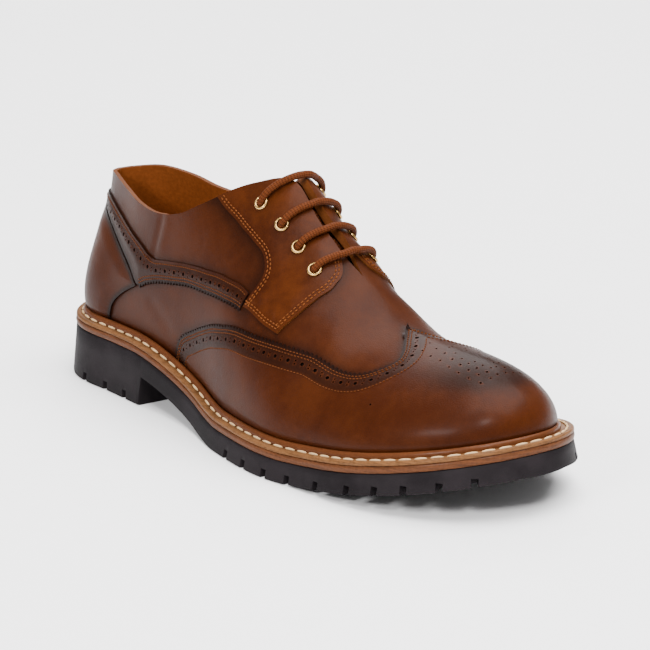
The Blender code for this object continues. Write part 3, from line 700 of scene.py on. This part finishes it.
def overlayLift(edgeDistance, height):
    # the leather thins towards its edge, and towards the welt
    full = ease(edgeDistance / layers["skive"])
    lift = layers["edgeLift"] + (layers["lift"] - layers["edgeLift"]) * full
    return lift * (0.4 + 0.6 * ease((height - 0.02) / 0.07))


def linePoints(side, table, low=0.0, high=1.0):
    return skin(side, *edgeAt(table, np.linspace(low, high, 260)).T, 0)


# Upper: vamp and quarters on the last, lined inside.
upperLook = {
    "columns": 250, "rows": 42,
    "weltShade": 0.45, "weltReach": 0.06, "toplineShade": 0.12, "toplineReach": 0.05,
    "seams": (
        # edge, from, to, reach of the painted shadow and burnish beside the edge, strength
        (facingRear, 0.0, 1.0, 0.0085, 0.62), (bandTop, 0.0, 1.0, 0.0040, 0.45),
        (bandFoot, gimpStart, 1.0, 0.0030, 0.55), (wingTop, 0.0, wingPeak, 0.0035, 0.60),
        (facingFoot, 0.0, 1.0, 0.0035, 0.50), (facingFront, 0.0, 1.0, 0.0040, 0.50),
        (counterFront, 0.0, 1.0, 0.0030, 0.60),
    ),
}


def upperBurnishAndShadow(side, points, share, height):
    look = upperLook
    # painted shadow on the upper beside the overlays' edges, partly burnish too; darker towards the
    # welt and the top line
    shade = np.zeros(share.shape)
    for table, low, high, reach, strength in look["seams"]:
        gap = distanceTo(points, linePoints(side, table, low, high))
        shade = np.maximum(shade, strength * fade(gap, reach, 1.5))
    shade = shade + look["weltShade"] * fade(height, look["weltReach"], 1)
    shade = shade + look["toplineShade"] * fade(1 - height, look["toplineReach"], 1)
    return np.clip(shade, 0, 1)


def buildUpper():
    bm = bmesh.new()
    share = np.linspace(0, 1, upperLook["columns"])
    share = np.unique(np.append(share, shoe["throatEnd"]))
    share, height = np.meshgrid(share, np.linspace(0, 1, upperLook["rows"]), indexing="ij")
    for side in (lateral, medial):
        points = skin(side, share, height, 0)
        grid(bm, points, {"burnishAndPaintedShadow": upperBurnishAndShadow(side, points, share, height)})
    weld(bm)
    faceOut(bm)
    piece = addPiece("vamp_and_quarters", bm, ("upper", "lining", "edge"), ("upper",))
    thicken(piece, layers["wall"], 1, 2)
    settle(piece)


buildUpper()
print("upper made")


# Overlays: wing cap, counter, band and facings, with pinked edges and punched holes.
holes = {
    "pitch": 0.0074, "radius": 0.00098, "pinRadius": 0.00045, "pinSpread": 0.0016, "depth": 0.0009,
    "wingRow": 0.0056, "bandRow": 0.0047, "medallionRadius": 0.00055,
}
stitches = {
    "fine": {"pitch": 0.0017, "length": 0.0015, "radius": 0.00030, "rise": 0.00008, "detail": 1},
    "facing": {"pitch": 0.0021, "length": 0.0017, "radius": 0.00036, "rise": 0.00012, "detail": 1},
    "edge": 0.0016, "second": 0.0030, "wingInner": 0.0100,
}


# How dark each overlay is made: burnished along its strips and edges and over the toe, and darker
# towards the welt.
wingLook = {
    "columns": 50, "rows": 44, "strip": 0.0085, "stripFade": 0.003, "stripShade": 0.62,
    "rimShade": 0.38, "rimReach": 0.0011, "toeShare": 0.72, "toeHeight": 0.40,
    "toeShade": 0.72, "weltShade": 0.35, "weltReach": 0.07,
}
counterLook = {
    "columns": 150, "rows": 48, "rimShade": 0.85, "rimReach": 0.0016,
    "softShade": 0.30, "softReach": 0.006, "weltShade": 0.30, "weltReach": 0.07,
}
bandLook = {
    "rows": 11, "shade": 0.62, "rimShade": 0.38, "rimReach": 0.0013,
    "topShade": -0.25, "topReach": 0.003,
}
facingLook = {
    "columns": 70, "rows": 90, "shade": 0.10, "rearShade": 0.20, "rearReach": 0.0030,
    "eyeletShade": 0.22, "eyeletReach": 0.0075, "holeRadius": 0.0025, "holeDepth": 0.0042,
}


def addStrip(bm, side, places, lift):
    # large holes in a row, with a pair of pinholes across the strip between them
    for k, place in enumerate(spaced(side, places, holes["pitch"] / 2, holes["pitch"] / 4)):
        if k % 2 == 0:
            addHole(bm, side, place, lift, holes["radius"], holes["depth"])
            continue
        share, height = place
        ahead = pointAt(side, (share, min(height + 0.01, 1)))
        behind = pointAt(side, (share, height - 0.01))
        rise = holes["pinSpread"] / max(np.linalg.norm(ahead - behind) / 0.02, 1e-6)
        for way in (-0.5, 0.5):
            moved = (share, min(height + way * rise, 1))
            addHole(bm, side, moved, lift, holes["pinRadius"], holes["depth"], 6)


def gimped(points, along, low, high, row, inward):
    # every second vertex of an edge row stands out, which makes the pinked teeth
    edge = points[:, row]
    inner = edge - points[:, row + inward]
    tangent = unit(np.gradient(edge, axis=0))
    across = inner - tangent * (inner * tangent).sum(1)[:, None]
    clear = np.linalg.norm(across, axis=1) > 0.4 * np.linalg.norm(inner, axis=1)
    way = unit(across) * clear[:, None]
    tooth = np.where(np.arange(len(along)) % 2 == 0, 1.0, -1.0)
    inside = ((along > low) & (along < high)).astype(float)
    points[:, row] += way * (tooth * inside * layers["toothDepth"])[:, None]


def overlayPoints(side, place, lines):
    # the places lifted off the last by the leather, and their distances from the edge lines
    share, height = place[..., 0], place[..., 1]
    flat = skin(side, share, height, 0)
    gaps = [distanceTo(flat, line) for line in lines]
    return skin(side, share, height, overlayLift(np.minimum.reduce(gaps), height)), gaps


def stitchRow(bm, side, line, inset, look):
    row = offsetLine(side, line, inset)
    at = spaced(side, row, look["pitch"], look["pitch"] / 2)
    if len(at) > 2:
        points = skin(side, *at.T, overlayLift(abs(inset), 0.5))
        addStitches(bm, points, ribNormal(side, *at.T), look)


def addOverlay(name, bm, materials, node, punches=None):
    weld(bm)
    faceOut(bm)
    piece = addPiece(name, bm, materials, (node,))
    thicken(piece, layers["lift"] + layers["bury"], 0, 1)
    if punches is None:
        settle(piece)
    else:
        punch(piece, punches)


def buildWing():
    bm, punches, stitched = bmesh.new(), bmesh.new(), bmesh.new()
    left, right = (straight(wingFoot[k], wingTop[k]) for k in (0, -1))
    edge = evenly(lateral, wingTop, layers["tooth"] / 2, 0, wingPeak)
    look = wingLook
    along = np.concatenate([edge, np.linspace(wingPeak, 1, look["columns"])[1:]])
    place = patch(wingFoot, wingTop, left, right, along, np.linspace(0, 1, look["rows"]))
    share, height = place[..., 0], place[..., 1]
    for side in (lateral, medial):
        points, (rim,) = overlayPoints(side, place, [linePoints(side, wingTop, 0, wingPeak)])
        gimped(points, along, 0.01, wingGimpEnd, -1, -1)
        strip = look["stripShade"] * (1 - ease((rim - look["strip"]) / look["stripFade"]))
        strip = strip + look["rimShade"] * fade(rim, look["rimReach"])
        toe = ease((share - look["toeShare"]) / 0.20) * ease((height - look["toeHeight"]) / 0.26)
        welt = look["weltShade"] * fade(height, look["weltReach"], 1)
        burnishAndPaintedShadow = np.maximum(strip, look["toeShade"] * toe) + welt
        grid(bm, points, {"burnishAndPaintedShadow": np.clip(burnishAndPaintedShadow, 0, 1)})
        line = edgeAt(wingTop, np.linspace(0, wingPeak, 420))
        row = offsetLine(side, line, -holes["wingRow"])
        addStrip(punches, side, row, layers["edgeLift"] + 0.0001)
        for inset in (stitches["edge"], stitches["second"], stitches["wingInner"]):
            stitchRow(stitched, side, line, -inset, stitches["fine"])
    addMedallion(punches)
    materials = ("upper", "darkEdge", "hole")
    addOverlay("wing_cap", bm, materials, "toe_cap", punches)
    addPiece("wing_stitches", stitched, ("threadBrown",))


def addMedallion(bm):
    # bowed rows of pinholes on top of the toe, about its middle line
    rows = (
        # share, heights up the rib
        (0.800, (0.955, 0.860)),
        (0.822, (0.925, 0.835)),
        (0.846, (0.990, 0.905, 0.820)),
        (0.870, (0.945, 0.865, 0.775)),
        (0.893, (0.900, 0.825, 0.735)),
        (0.915, (0.860, 0.780, 0.690)),
        (0.938, (0.900, 0.815, 0.735, 0.640)),
        (0.962, (0.860, 0.770, 0.690)),
        (0.986, (0.820, 0.730)),
    )
    lone = (0.768, (0.39,))
    lift, radius, depth = layers["lift"], holes["medallionRadius"], holes["depth"]
    for side in (lateral, medial):
        for share, heights in (*rows, lone):
            for k, height in enumerate(heights):
                addHole(bm, side, (share, height), lift, radius * (1.25 if k % 2 else 1), depth, 6)


def buildCounter():
    bm = bmesh.new()
    front = counterFront * (1, -1, 1)
    look = counterLook
    along, up = np.linspace(0, 1, look["columns"]), np.linspace(0, 1, look["rows"])
    place = patch(counterFoot, counterTop, front, counterFront, along, up)
    share, height = place[..., 0], place[..., 1]
    edges = [linePoints(side, counterFront) for side in (lateral, medial)]
    edges.append(signedSkin(*edgeAt(counterTop, np.linspace(0, 1, 300)).T, 0))
    rim = distanceTo(signedSkin(share, height, 0), np.concatenate(edges))
    points = signedSkin(share, height, overlayLift(rim, height))
    burnishAndPaintedShadow = look["weltShade"] * fade(height, look["weltReach"], 1)
    for name in ("rim", "soft"):
        burnishAndPaintedShadow = burnishAndPaintedShadow + look[name + "Shade"] * fade(rim, look[name + "Reach"])
    grid(bm, points, {"burnishAndPaintedShadow": np.clip(burnishAndPaintedShadow, 0, 1)})
    addOverlay("heel_counter", bm, ("upper", "darkEdge"), "counter")


def buildBand():
    bm, punches, stitched = bmesh.new(), bmesh.new(), bmesh.new()
    left, right = (straight(bandFoot[k], bandTop[k]) for k in (0, -1))
    along = evenly(lateral, bandFoot, layers["tooth"] / 2)
    look = bandLook
    place = patch(bandFoot, bandTop, left, right, along, np.linspace(0, 1, look["rows"]))
    for side in (lateral, medial):
        edges = [linePoints(side, table) for table in (bandFoot, bandTop)]
        points, (low, high) = overlayPoints(side, place, edges)
        gimped(points, along, gimpStart, 0.995, 0, 1)
        shade = look["shade"] + look["rimShade"] * fade(low, look["rimReach"])
        shade = shade + look["topShade"] * ease(1 - high / look["topReach"])
        grid(bm, points, {"burnishAndPaintedShadow": np.clip(shade, 0, 1)})
        top = edgeAt(bandTop, np.linspace(0.02, 1, 320))
        foot = edgeAt(bandFoot, np.linspace(gimpStart + 0.01, 1, 200))
        row = offsetLine(side, top, -holes["bandRow"])
        addStrip(punches, side, row, layers["edgeLift"] + 0.0002)
        for line, inset in (
                (top, -stitches["edge"]), (foot, stitches["edge"]), (foot, stitches["second"])):
            stitchRow(stitched, side, line, inset, stitches["fine"])
    materials = ("upper", "darkEdge", "hole")
    addOverlay("quarter_band", bm, materials, "counter_band", punches)
    addPiece("band_stitches", stitched, ("threadBrown",))


def buildFacings():
    look = facingLook
    across, up = np.linspace(0, 1, look["columns"]), np.linspace(0, 1, look["rows"])
    place = patch(facingFoot, facingTop, facingRear, facingFront, across, up)
    for side, word in sides:
        bm, punches, stitched = bmesh.new(), bmesh.new(), bmesh.new()
        edges = [linePoints(side, table) for table in (facingRear, facingFront, facingFoot)]
        flat = skin(side, place[..., 0], place[..., 1], 0)
        points, gaps = overlayPoints(side, place, edges)
        burnishAndPaintedShadow = look["shade"] + look["rearShade"] * fade(gaps[0], look["rearReach"])
        for eyelet in eyeletPlaces:
            gap = distanceTo(flat, pointAt(side, eyelet)[None])
            burnishAndPaintedShadow = burnishAndPaintedShadow + look["eyeletShade"] * fade(gap, look["eyeletReach"])
            radius, depth = look["holeRadius"], look["holeDepth"]
            addHole(punches, side, eyelet, layers["lift"], radius, depth, 20)
        grid(bm, points, {"burnishAndPaintedShadow": np.clip(burnishAndPaintedShadow, 0, 1)})
        node = "facing_" + word
        addOverlay("eyelet_" + node, bm, ("facing", "edge", "hole"), node, punches)
        for table, way in ((facingRear, -1), (facingFront, 1), (facingFoot, 1)):
            line = edgeAt(table, np.linspace(0.03, 0.97, 160))
            for inset in (stitches["edge"], stitches["second"]):
                stitchRow(stitched, side, line, inset * way, stitches["facing"])
        addPiece("facing_stitches_" + word, stitched, ("threadLight",))


buildWing()
print("wing cap made")
buildCounter()
buildBand()
print("counter and band made")
buildFacings()
print("facings made")


# Tongue, lying under the throat and pressed down a little by the lace.
tongueLook = {"thickness": 0.0024, "lift": -0.0030, "press": 0.0030, "columns": 60, "rows": 26}


def buildTongue():
    bm = bmesh.new()
    share = np.linspace(0.465, 0.665, tongueLook["columns"])
    share, height = np.meshgrid(share, np.linspace(0.70, 1, tongueLook["rows"]), indexing="ij")
    press = ease((share - 0.462) / 0.02) * ease((0.635 - share) / 0.04)
    press = press * ease((height - 0.72) / 0.12)
    lift = tongueLook["lift"] - tongueLook["press"] * press
    outer, inner = (skin(side, share, height, lift) for side in (lateral, medial))
    middle = (outer[:, -1:] + inner[:, -1:]) / 2
    sheet = np.concatenate([outer, middle, inner[:, ::-1]], axis=1)
    grid(bm, sheet, {"burnishAndPaintedShadow": np.full(sheet.shape[:2], 0.35)})
    weld(bm)
    faceOut(bm)
    piece = addPiece("tongue_leather", bm, ("upper", "lining", "edge"), ("tongue",))
    thicken(piece, tongueLook["thickness"], 1, 2)
    settle(piece)


buildTongue()


# Eyelets: rolled brass rings with a barrel down through the leather.
eyeletLook = {"outer": 0.0035, "hole": 0.00195, "thick": 0.0011, "stand": 0.0001, "depth": 0.0032}


def buildEyelets():
    look = eyeletLook
    middle = (look["outer"] + look["hole"]) / 2
    half = (look["outer"] - look["hole"]) / 2
    profile = [(look["hole"], -look["depth"])]
    for turn in np.linspace(pi, 0, 8):
        profile.append((middle + half * np.cos(turn), look["stand"] + look["thick"] * np.sin(turn)))
    profile += [(look["hole"] + 0.0004, -0.0001), (look["hole"] + 0.0004, -look["depth"])]
    for side, word in sides:
        for number, place in enumerate(eyeletPlaces, 1):
            bm = bmesh.new()
            verts = [bm.verts.new((radius, 0, z)) for radius, z in profile]
            edges = [bm.edges.new((verts[k], verts[k - 1])) for k in range(len(verts))]
            bmesh.ops.spin(
                bm, geom=verts + edges, cent=(0, 0, 0), axis=(0, 0, 1), angle=2 * pi, steps=28,
                use_merge=True)
            weld(bm)
            bmesh.ops.transform(bm, matrix=frameAt(side, place, layers["lift"]), verts=bm.verts[:])
            bmesh.ops.recalc_face_normals(bm, faces=bm.faces[:])
            node = f"eyelet_{word}_{number}"
            addPiece(f"brass_{node}", bm, ("brass",), (node,))


buildEyelets()
print("tongue and eyelets made")


# Lace: one cord through all the eyelets, bar by bar, its two ends tucked in at the top.
laceLook = {"radius": 0.00165, "press": 0.0006, "crown": 0.0004, "under": -0.0050, "turns": 14}


def roundedPath(points, spacing=0.0006):
    # a smooth curve through given points
    points = np.array(points, float)
    run = runOf(points)
    at = np.linspace(0, run[-1], max(8, int(run[-1] / spacing)))
    table = np.column_stack([run, points])
    return np.stack([smooth(table, at, column) for column in (1, 2, 3)], 1)


def tube(bm, line, radius, turns):
    slope = unit(np.gradient(line, axis=0))
    side = unit(np.cross(slope[0], (0.3, 0.2, 1)))
    sides = []
    for way in slope:
        side = unit(side - way * (side @ way))
        sides.append(side)
    sides = np.array(sides)
    ups = np.cross(sides, slope)
    angle = np.linspace(0, 2 * pi, turns + 1)[None, :, None]
    rings = line[:, None] + radius * (np.cos(angle) * sides[:, None] + np.sin(angle) * ups[:, None])
    ends = [np.broadcast_to(point, rings[:1].shape) for point in (line[0], line[-1])]
    rings = np.concatenate([ends[0], rings, ends[1]])
    run = runOf(line)
    run = np.concatenate([[0], run, run[-1:]])
    uv = np.stack(np.broadcast_arrays(run[:, None], np.linspace(0, 1, turns + 1)[None]), -1)
    grid(bm, rings, None, uv)


def laceRoute():
    # up through each outer eyelet, over the throat, down the inner one, and back under to the next
    look = laceLook
    top = layers["lift"] + look["radius"]

    def toward(place, crossing, part):
        return (place[0] + (crossing - place[0]) * part, place[1] + (1 - place[1]) * part)

    route = []
    for number in range(len(eyeletPlaces) - 1, -1, -1):
        place, crossing = eyeletPlaces[number], laceCrossings[number]
        share, height = place
        if number == len(eyeletPlaces) - 1:
            route += [pointAt(lateral, (share, height - 0.10), look["under"]),
                      pointAt(lateral, (share, height - 0.04), look["under"] + 0.0006)]
        halves = []
        for side in (lateral, medial):
            halves.append([
                pointAt(side, toward(place, crossing, -0.04), -0.0022),
                pointAt(side, place, layers["lift"] + 0.0006),
                pointAt(side, toward(place, crossing, 0.20), top + 0.0006),
                pointAt(side, toward(place, crossing, 0.60), top + look["press"]),
                pointAt(side, (crossing, 1), top + look["crown"] * 0.5)])
        crown = (halves[0][-1] + halves[1][-1]) / 2 + np.array([0, 0, look["crown"]])
        route += halves[0] + [crown] + halves[1][::-1]
        if number:
            ahead = eyeletPlaces[number - 1]
            between = ((share + ahead[0]) / 2, 1)
            low = sum(pointAt(side, between, look["under"]) for side in (lateral, medial)) / 2
            route += [pointAt(medial, (share, height + 0.05), look["under"]), low,
                      pointAt(lateral, (ahead[0], ahead[1] + 0.05), look["under"])]
        else:
            route += [pointAt(medial, (share, height - 0.04), look["under"] + 0.0006),
                      pointAt(medial, (share, height - 0.10), look["under"])]
    return route


def buildLace():
    bm = bmesh.new()
    line = roundedPath(laceRoute())
    tube(bm, line, laceLook["radius"], laceLook["turns"])
    seal(bm)
    length = float(runOf(line)[-1])
    bars = tuple(f"lace_bar_{number}" for number in range(1, len(eyeletPlaces) + 1))
    addPiece("lace", bm, ("lace",), bars)
    print(f"lace made, {length:.3f} m of it in the shoe")


buildLace()


# Sole: rubber unit with its heel, midsole, and welt with bead and stitches.
soleLook = {
    "stations": 230, "groove": 0.0034,
    "notchWidth": 0.0032, "notchHeight": 0.0042, "notchDepth": 0.014,
    "forefoot": (0.530, 0.580, 0.630, 0.677, 0.737, 0.798, 0.844, 0.886, 0.930, 0.965),
    "heel": (0.045, 0.100, 0.155, 0.208),
    "middle": (0.088, 0.150, 0.560, 0.615, 0.670, 0.725, 0.780, 0.835, 0.890),
    "round": 0.0007,
}
weltLook = {
    "reach": 0.0135, "beadWidth": 0.0030, "beadHeight": 0.0027, "beadGap": 0.0004,
    "stitchInset": 0.0030, "grooveWidth": 0.0011, "grooveDepth": 0.0004, "stations": 150,
    "stitch": {"pitch": 0.0074, "length": 0.0062, "radius": 0.00062, "rise": 0.00020, "detail": 2},
}


def soleEdge(side, x, offset):
    points, out = halfOutline(side)
    y = np.interp(x, points[:, 0], points[:, 1])
    way = unit(resample(x, points[:, 0], out))
    return np.stack([x, y], -1) + way * np.broadcast_to(offset, x.shape)[..., None]


def openLoft(bm, rings):
    grid(bm, np.concatenate([rings, rings[:, :1]], axis=1))


def closedLoft(bm, rings):
    ends = [np.broadcast_to(ring.mean(axis=0), ring.shape)[None] for ring in (rings[0], rings[-1])]
    openLoft(bm, np.concatenate([ends[0], rings, ends[1]]))


def plate(x, wall):
    # cross sections with the sole's outline, folded flat at heel and toe; wall lists (offset, z)
    # down the side, as arrays over x
    columns = []
    for side, rows in ((lateral, wall), (medial, wall[::-1])):
        for offset, z in rows:
            flat = soleEdge(side, x, offset)
            columns.append(np.column_stack([flat, z(flat[:, 0])]))
    return np.stack(columns, axis=1)


def addPlate(name, x, wall, material, node):
    bm = bmesh.new()
    openLoft(bm, plate(x, wall))
    weld(bm)
    if bm.calc_volume(signed=True) < 0:
        bmesh.ops.reverse_faces(bm, faces=bm.faces[:])
    return addPiece(name, bm, (material,), (node,))


def buildOutsole():
    breast = shoe["heelLength"]
    x = stations(soleLook["stations"])
    x = x[np.abs(x - breast) > 0.0014]
    x = np.sort(np.concatenate([x, [breast - 0.0006, breast + 0.0006]]))
    heel = x < breast
    thin = shoe["treadHeight"] / (soleTop(x) - toeSpring(x))
    flare = np.where(heel, shoe["soleFlare"], shoe["soleFlare"] * thin)
    edge = soleLook["round"]

    def under(at):
        return np.where(heel, 0, soleTop(at) - shoe["treadHeight"])

    def level(share, shift=0.0):
        return lambda at: under(at) + (soleTop(at) - 0.0002 - under(at)) * share + shift

    wall = [
        (0 * x - edge * 0.6, level(1)), (0 * x, level(1, -edge * 0.7)), (flare * 0.3, level(0.7)),
        (flare * 0.72, level(0.28)), (flare * 0.97, level(0, edge * 1.4)),
        (flare * 0.92, level(0, edge * 0.5)), (flare * 0.6 - edge, level(0)),
        (0 * x - 0.012, level(0)),
    ]
    piece = addPlate("rubber_sole", x, wall, "rubber", "outsole")
    cutters = (lugNotches(), longGrooves())
    for cutter in cutters:
        cutAway(piece, cutter)
    bevel = piece.modifiers.new("worn corners", "BEVEL")
    bevel.width = 0.00025
    bevel.segments = 2
    bevel.limit_method = "ANGLE"
    bevel.angle_limit = radians(50)
    settle(piece, 50)
    for cutter in cutters:
        bpy.data.objects.remove(cutter, do_unlink=True)


def addBlock(bm, middle, top, size, turn=0.0):
    place = Matrix.Translation((middle[0], middle[1], top - size[2] / 2))
    place = place @ Matrix.Rotation(turn, 4, "Z") @ Matrix.Diagonal((*size, 1))
    bmesh.ops.create_cube(bm, size=1, matrix=place)


def lugNotches():
    # notches in the side, and grooves across the tread
    bm = bmesh.new()
    look = soleLook
    outside, below = 0.006, 0.010
    reach, height = look["notchDepth"] + outside, look["notchHeight"] + below
    for side in (lateral, medial):
        for share in look["heel"] + look["forefoot"]:
            x = np.array([share * shoe["length"]])
            edge = soleEdge(side, x, 0)[0]
            way = soleEdge(side, x, 1)[0] - edge
            top = float(toeSpring(x)[0]) + look["notchHeight"]
            size = (reach, look["notchWidth"], height)
            addBlock(bm, edge + way * (outside - reach / 2), top, size, np.arctan2(way[1], way[0]))
    inset, shallower = -look["notchDepth"] - look["groove"] / 2, 0.0009
    for share in look["middle"]:
        x = np.array([share * shoe["length"]])
        near, far = (soleEdge(side, x, inset)[0] for side in (lateral, medial))
        top = float(toeSpring(x)[0]) + look["notchHeight"] - shallower
        addBlock(bm, (near + far) / 2, top, (look["groove"], far[1] - near[1], height - shallower))
    return meshObject("notches", bm)


def longGrooves():
    bm = bmesh.new()
    look = soleLook
    for side in (lateral, medial):
        for start, end in ((0.040, 0.222), (0.500, 0.930)):
            x = np.linspace(start, end, 40) * shoe["length"]
            near = soleEdge(side, x, 0.0012 - look["notchDepth"])
            far = soleEdge(side, x, 0.0012 - look["notchDepth"] - look["groove"])
            low, high = toeSpring(x) - 0.010, toeSpring(x) + look["notchHeight"] - 0.0006
            corners = ((near, low), (near, high), (far, high), (far, low))
            closedLoft(bm, np.stack([np.column_stack([flat, z]) for flat, z in corners], axis=1))
    seal(bm)
    return meshObject("grooves", bm)


def buildMidsole():
    x = stations(soleLook["stations"])
    thick = shoe["midsole"] - 0.0002
    rows = (
        (-0.0003, thick), (0.0001, thick * 0.85), (0.0003, thick * 0.5), (0, 0.0003), (-0.0004, 0))
    wall = [(0 * x + offset, lambda at, rise=rise: soleTop(at) + rise) for offset, rise in rows]
    settle(addPlate("midsole_edge", x, wall, "tanEdge", "midsole"), 50)


def weltLine(side, share, inset, rise):
    edge, way = insetLine(side, share, lambda at: 0 * at)
    flat = edge - way * np.broadcast_to(inset, edge.shape[:1])[:, None]
    return np.column_stack([flat, soleTop(flat[:, 0]) + shoe["midsole"] + rise])


def buildWelt():
    look = weltLook
    strip, bead = [], []
    groove, half, top = look["grooveWidth"] / 2, look["beadWidth"] / 2, shoe["welt"]
    seam, floor = look["stitchInset"], top - look["grooveDepth"]
    for side, share in ((lateral, np.linspace(0, 1, look["stations"])),
                        (medial, np.linspace(1, 0, look["stations"])[1:])):
        edge = insetLine(side, share, lambda at: 0 * at)[0]
        profile = (
            # inset from the sole's edge, height
            (0.0003, 0), (-0.0001, 0.0004), (0, top - 0.0005), (0.0005, top),
            (seam - groove * 1.6, top), (seam - groove * 0.5, floor),
            (seam + groove * 0.5, floor), (seam + groove * 1.6, top),
            (look["reach"], top), (look["reach"], 0),
        )
        middle = featherInset(edge[:, 0]) - half - look["beadGap"]
        roll = [(middle - half, top - 0.0004)]
        for turn in np.linspace(pi, 0, 9):
            rise = top + look["beadHeight"] * np.sin(turn)
            roll.append((middle - half * np.cos(pi - turn), rise))
        roll.append((middle + half, top - 0.0004))
        for rings, lines in ((strip, profile), (bead, roll)):
            rings.append(np.stack([weltLine(side, share, *line) for line in lines], axis=1))
    shapes = []
    for parts in (strip, bead):
        bm = bmesh.new()
        openLoft(bm, np.concatenate(parts))
        seal(bm)
        shapes.append(bm)
    settle(addPiece("welt_strip", shapes[0], ("weltTop",), ("welt",)), 50)
    addPiece("welt_bead", shapes[1], ("bead",))
    buildWeltStitches()


def buildWeltStitches():
    look = weltLook
    bm = bmesh.new()
    for side in (lateral, medial):
        fine = np.linspace(0, 1, 600)
        line = weltLine(side, fine, look["stitchInset"], shoe["welt"] - look["grooveDepth"] * 0.4)
        run = runOf(line)
        at = np.arange(look["stitch"]["pitch"] / 2, run[-1], look["stitch"]["pitch"])
        points = resample(at, run, line)
        slope = unit(np.gradient(points, axis=0))
        normal = np.cross(np.cross(slope, (0, 0, 1)), slope)
        addStitches(bm, points, normal, look["stitch"])
    addPiece("welt_stitches", bm, ("threadCream",))


buildOutsole()
buildMidsole()
buildWelt()
print("sole made")


# Sock: the leather that lines the insole.
sockLook = {"inset": 0.0027, "thick": 0.0026, "crown": 0.0008, "leather": 0.0016}


def buildSock():
    bm = bmesh.new()
    x = stations(120)
    inset = featherInset(x) + sockLook["inset"]
    outer, inner = (soleEdge(side, x, -inset) for side in (lateral, medial))
    rows = []
    for share in np.linspace(0, 1, 22):
        flat = outer + (inner - outer) * share
        rise = sockLook["thick"] + sockLook["crown"] * (abs(share - 0.5) * 2) ** 3
        rows.append(np.column_stack([flat, weltTop(flat[:, 0]) + 0.0003 + rise]))
    sheet = np.stack(rows, axis=1)
    grid(bm, sheet, {"burnishAndPaintedShadow": np.zeros(sheet.shape[:2])})
    seal(bm)
    if sum(face.normal.z for face in bm.faces) < 0:
        bmesh.ops.reverse_faces(bm, faces=bm.faces[:])
    piece = addPiece("sock_lining", bm, ("sock",), ("insole",))
    thicken(piece, sockLook["leather"])
    settle(piece)


buildSock()
print("sock made")


# Floor, camera and light.
def addFloor():
    bm = bmesh.new()
    bmesh.ops.create_grid(bm, x_segments=1, y_segments=1, size=15)
    meshObject("floor", bm, ("floor",), Vector((0, 0, 0)))


view = {
    "azimuth": 51.305, "elevation": 16.825, "distance": 1.9075, "lens": 235.2,
    "target": Vector((0, 0.00227, 0.045)), "turn": -0.2067, "tip": -0.1311, "roll": 0.0783,
}


def backward(azimuth, elevation):
    a, e = radians(azimuth), radians(elevation)
    return Vector((np.sin(a) * np.cos(e), -np.cos(a) * np.cos(e), np.sin(e)))


def addCamera():
    data = bpy.data.cameras.new("camera")
    data.lens = view["lens"]
    data.sensor_width = 36
    data.clip_end = 60
    camera = addObject("camera", data)
    azimuth, elevation = view["azimuth"] + view["turn"], view["elevation"] + view["tip"]
    back = backward(azimuth, elevation)
    right = Vector((np.cos(radians(azimuth)), np.sin(radians(azimuth)), 0))
    turn = Matrix((right, back.cross(right), back)).transposed()
    turn = turn @ Matrix.Rotation(radians(view["roll"]), 3, "Z")
    place = view["target"] + backward(view["azimuth"], view["elevation"]) * view["distance"]
    camera.matrix_world = Matrix.Translation(place) @ turn.to_4x4()
    bpy.context.scene.camera = camera


lights = (
    # name, azimuth, elevation, distance, width, height, watts
    ("overhead", 135, 76, 2.4, 2.4, 2.4, 215),
    ("camera left", 13, 31, 2.2, 0.80, 0.36, 38),
    ("above camera", 58, 43, 2.2, 0.36, 0.36, 28),
    ("behind", 235, 40, 2.6, 1.6, 1.0, 50),
)


def addLights():
    world = bpy.data.worlds.new("studio")
    bpy.context.scene.world = world
    world.use_nodes = True
    sky = world.node_tree.nodes["Background"].inputs
    sky["Color"].default_value = (1, 1, 1, 1)
    sky["Strength"].default_value = 0.56
    for name, azimuth, elevation, distance, width, height, watts in lights:
        data = bpy.data.lights.new(name, "AREA")
        data.shape = "RECTANGLE"
        data.size, data.size_y, data.energy = width, height, watts
        lamp = addObject(name, data)
        back = backward(azimuth, elevation)
        turn = back.to_track_quat("Z", "Y").to_matrix().to_4x4()
        lamp.matrix_world = Matrix.Translation(back * distance) @ turn


addFloor()
addCamera()
addLights()
print("floor, camera and light made")
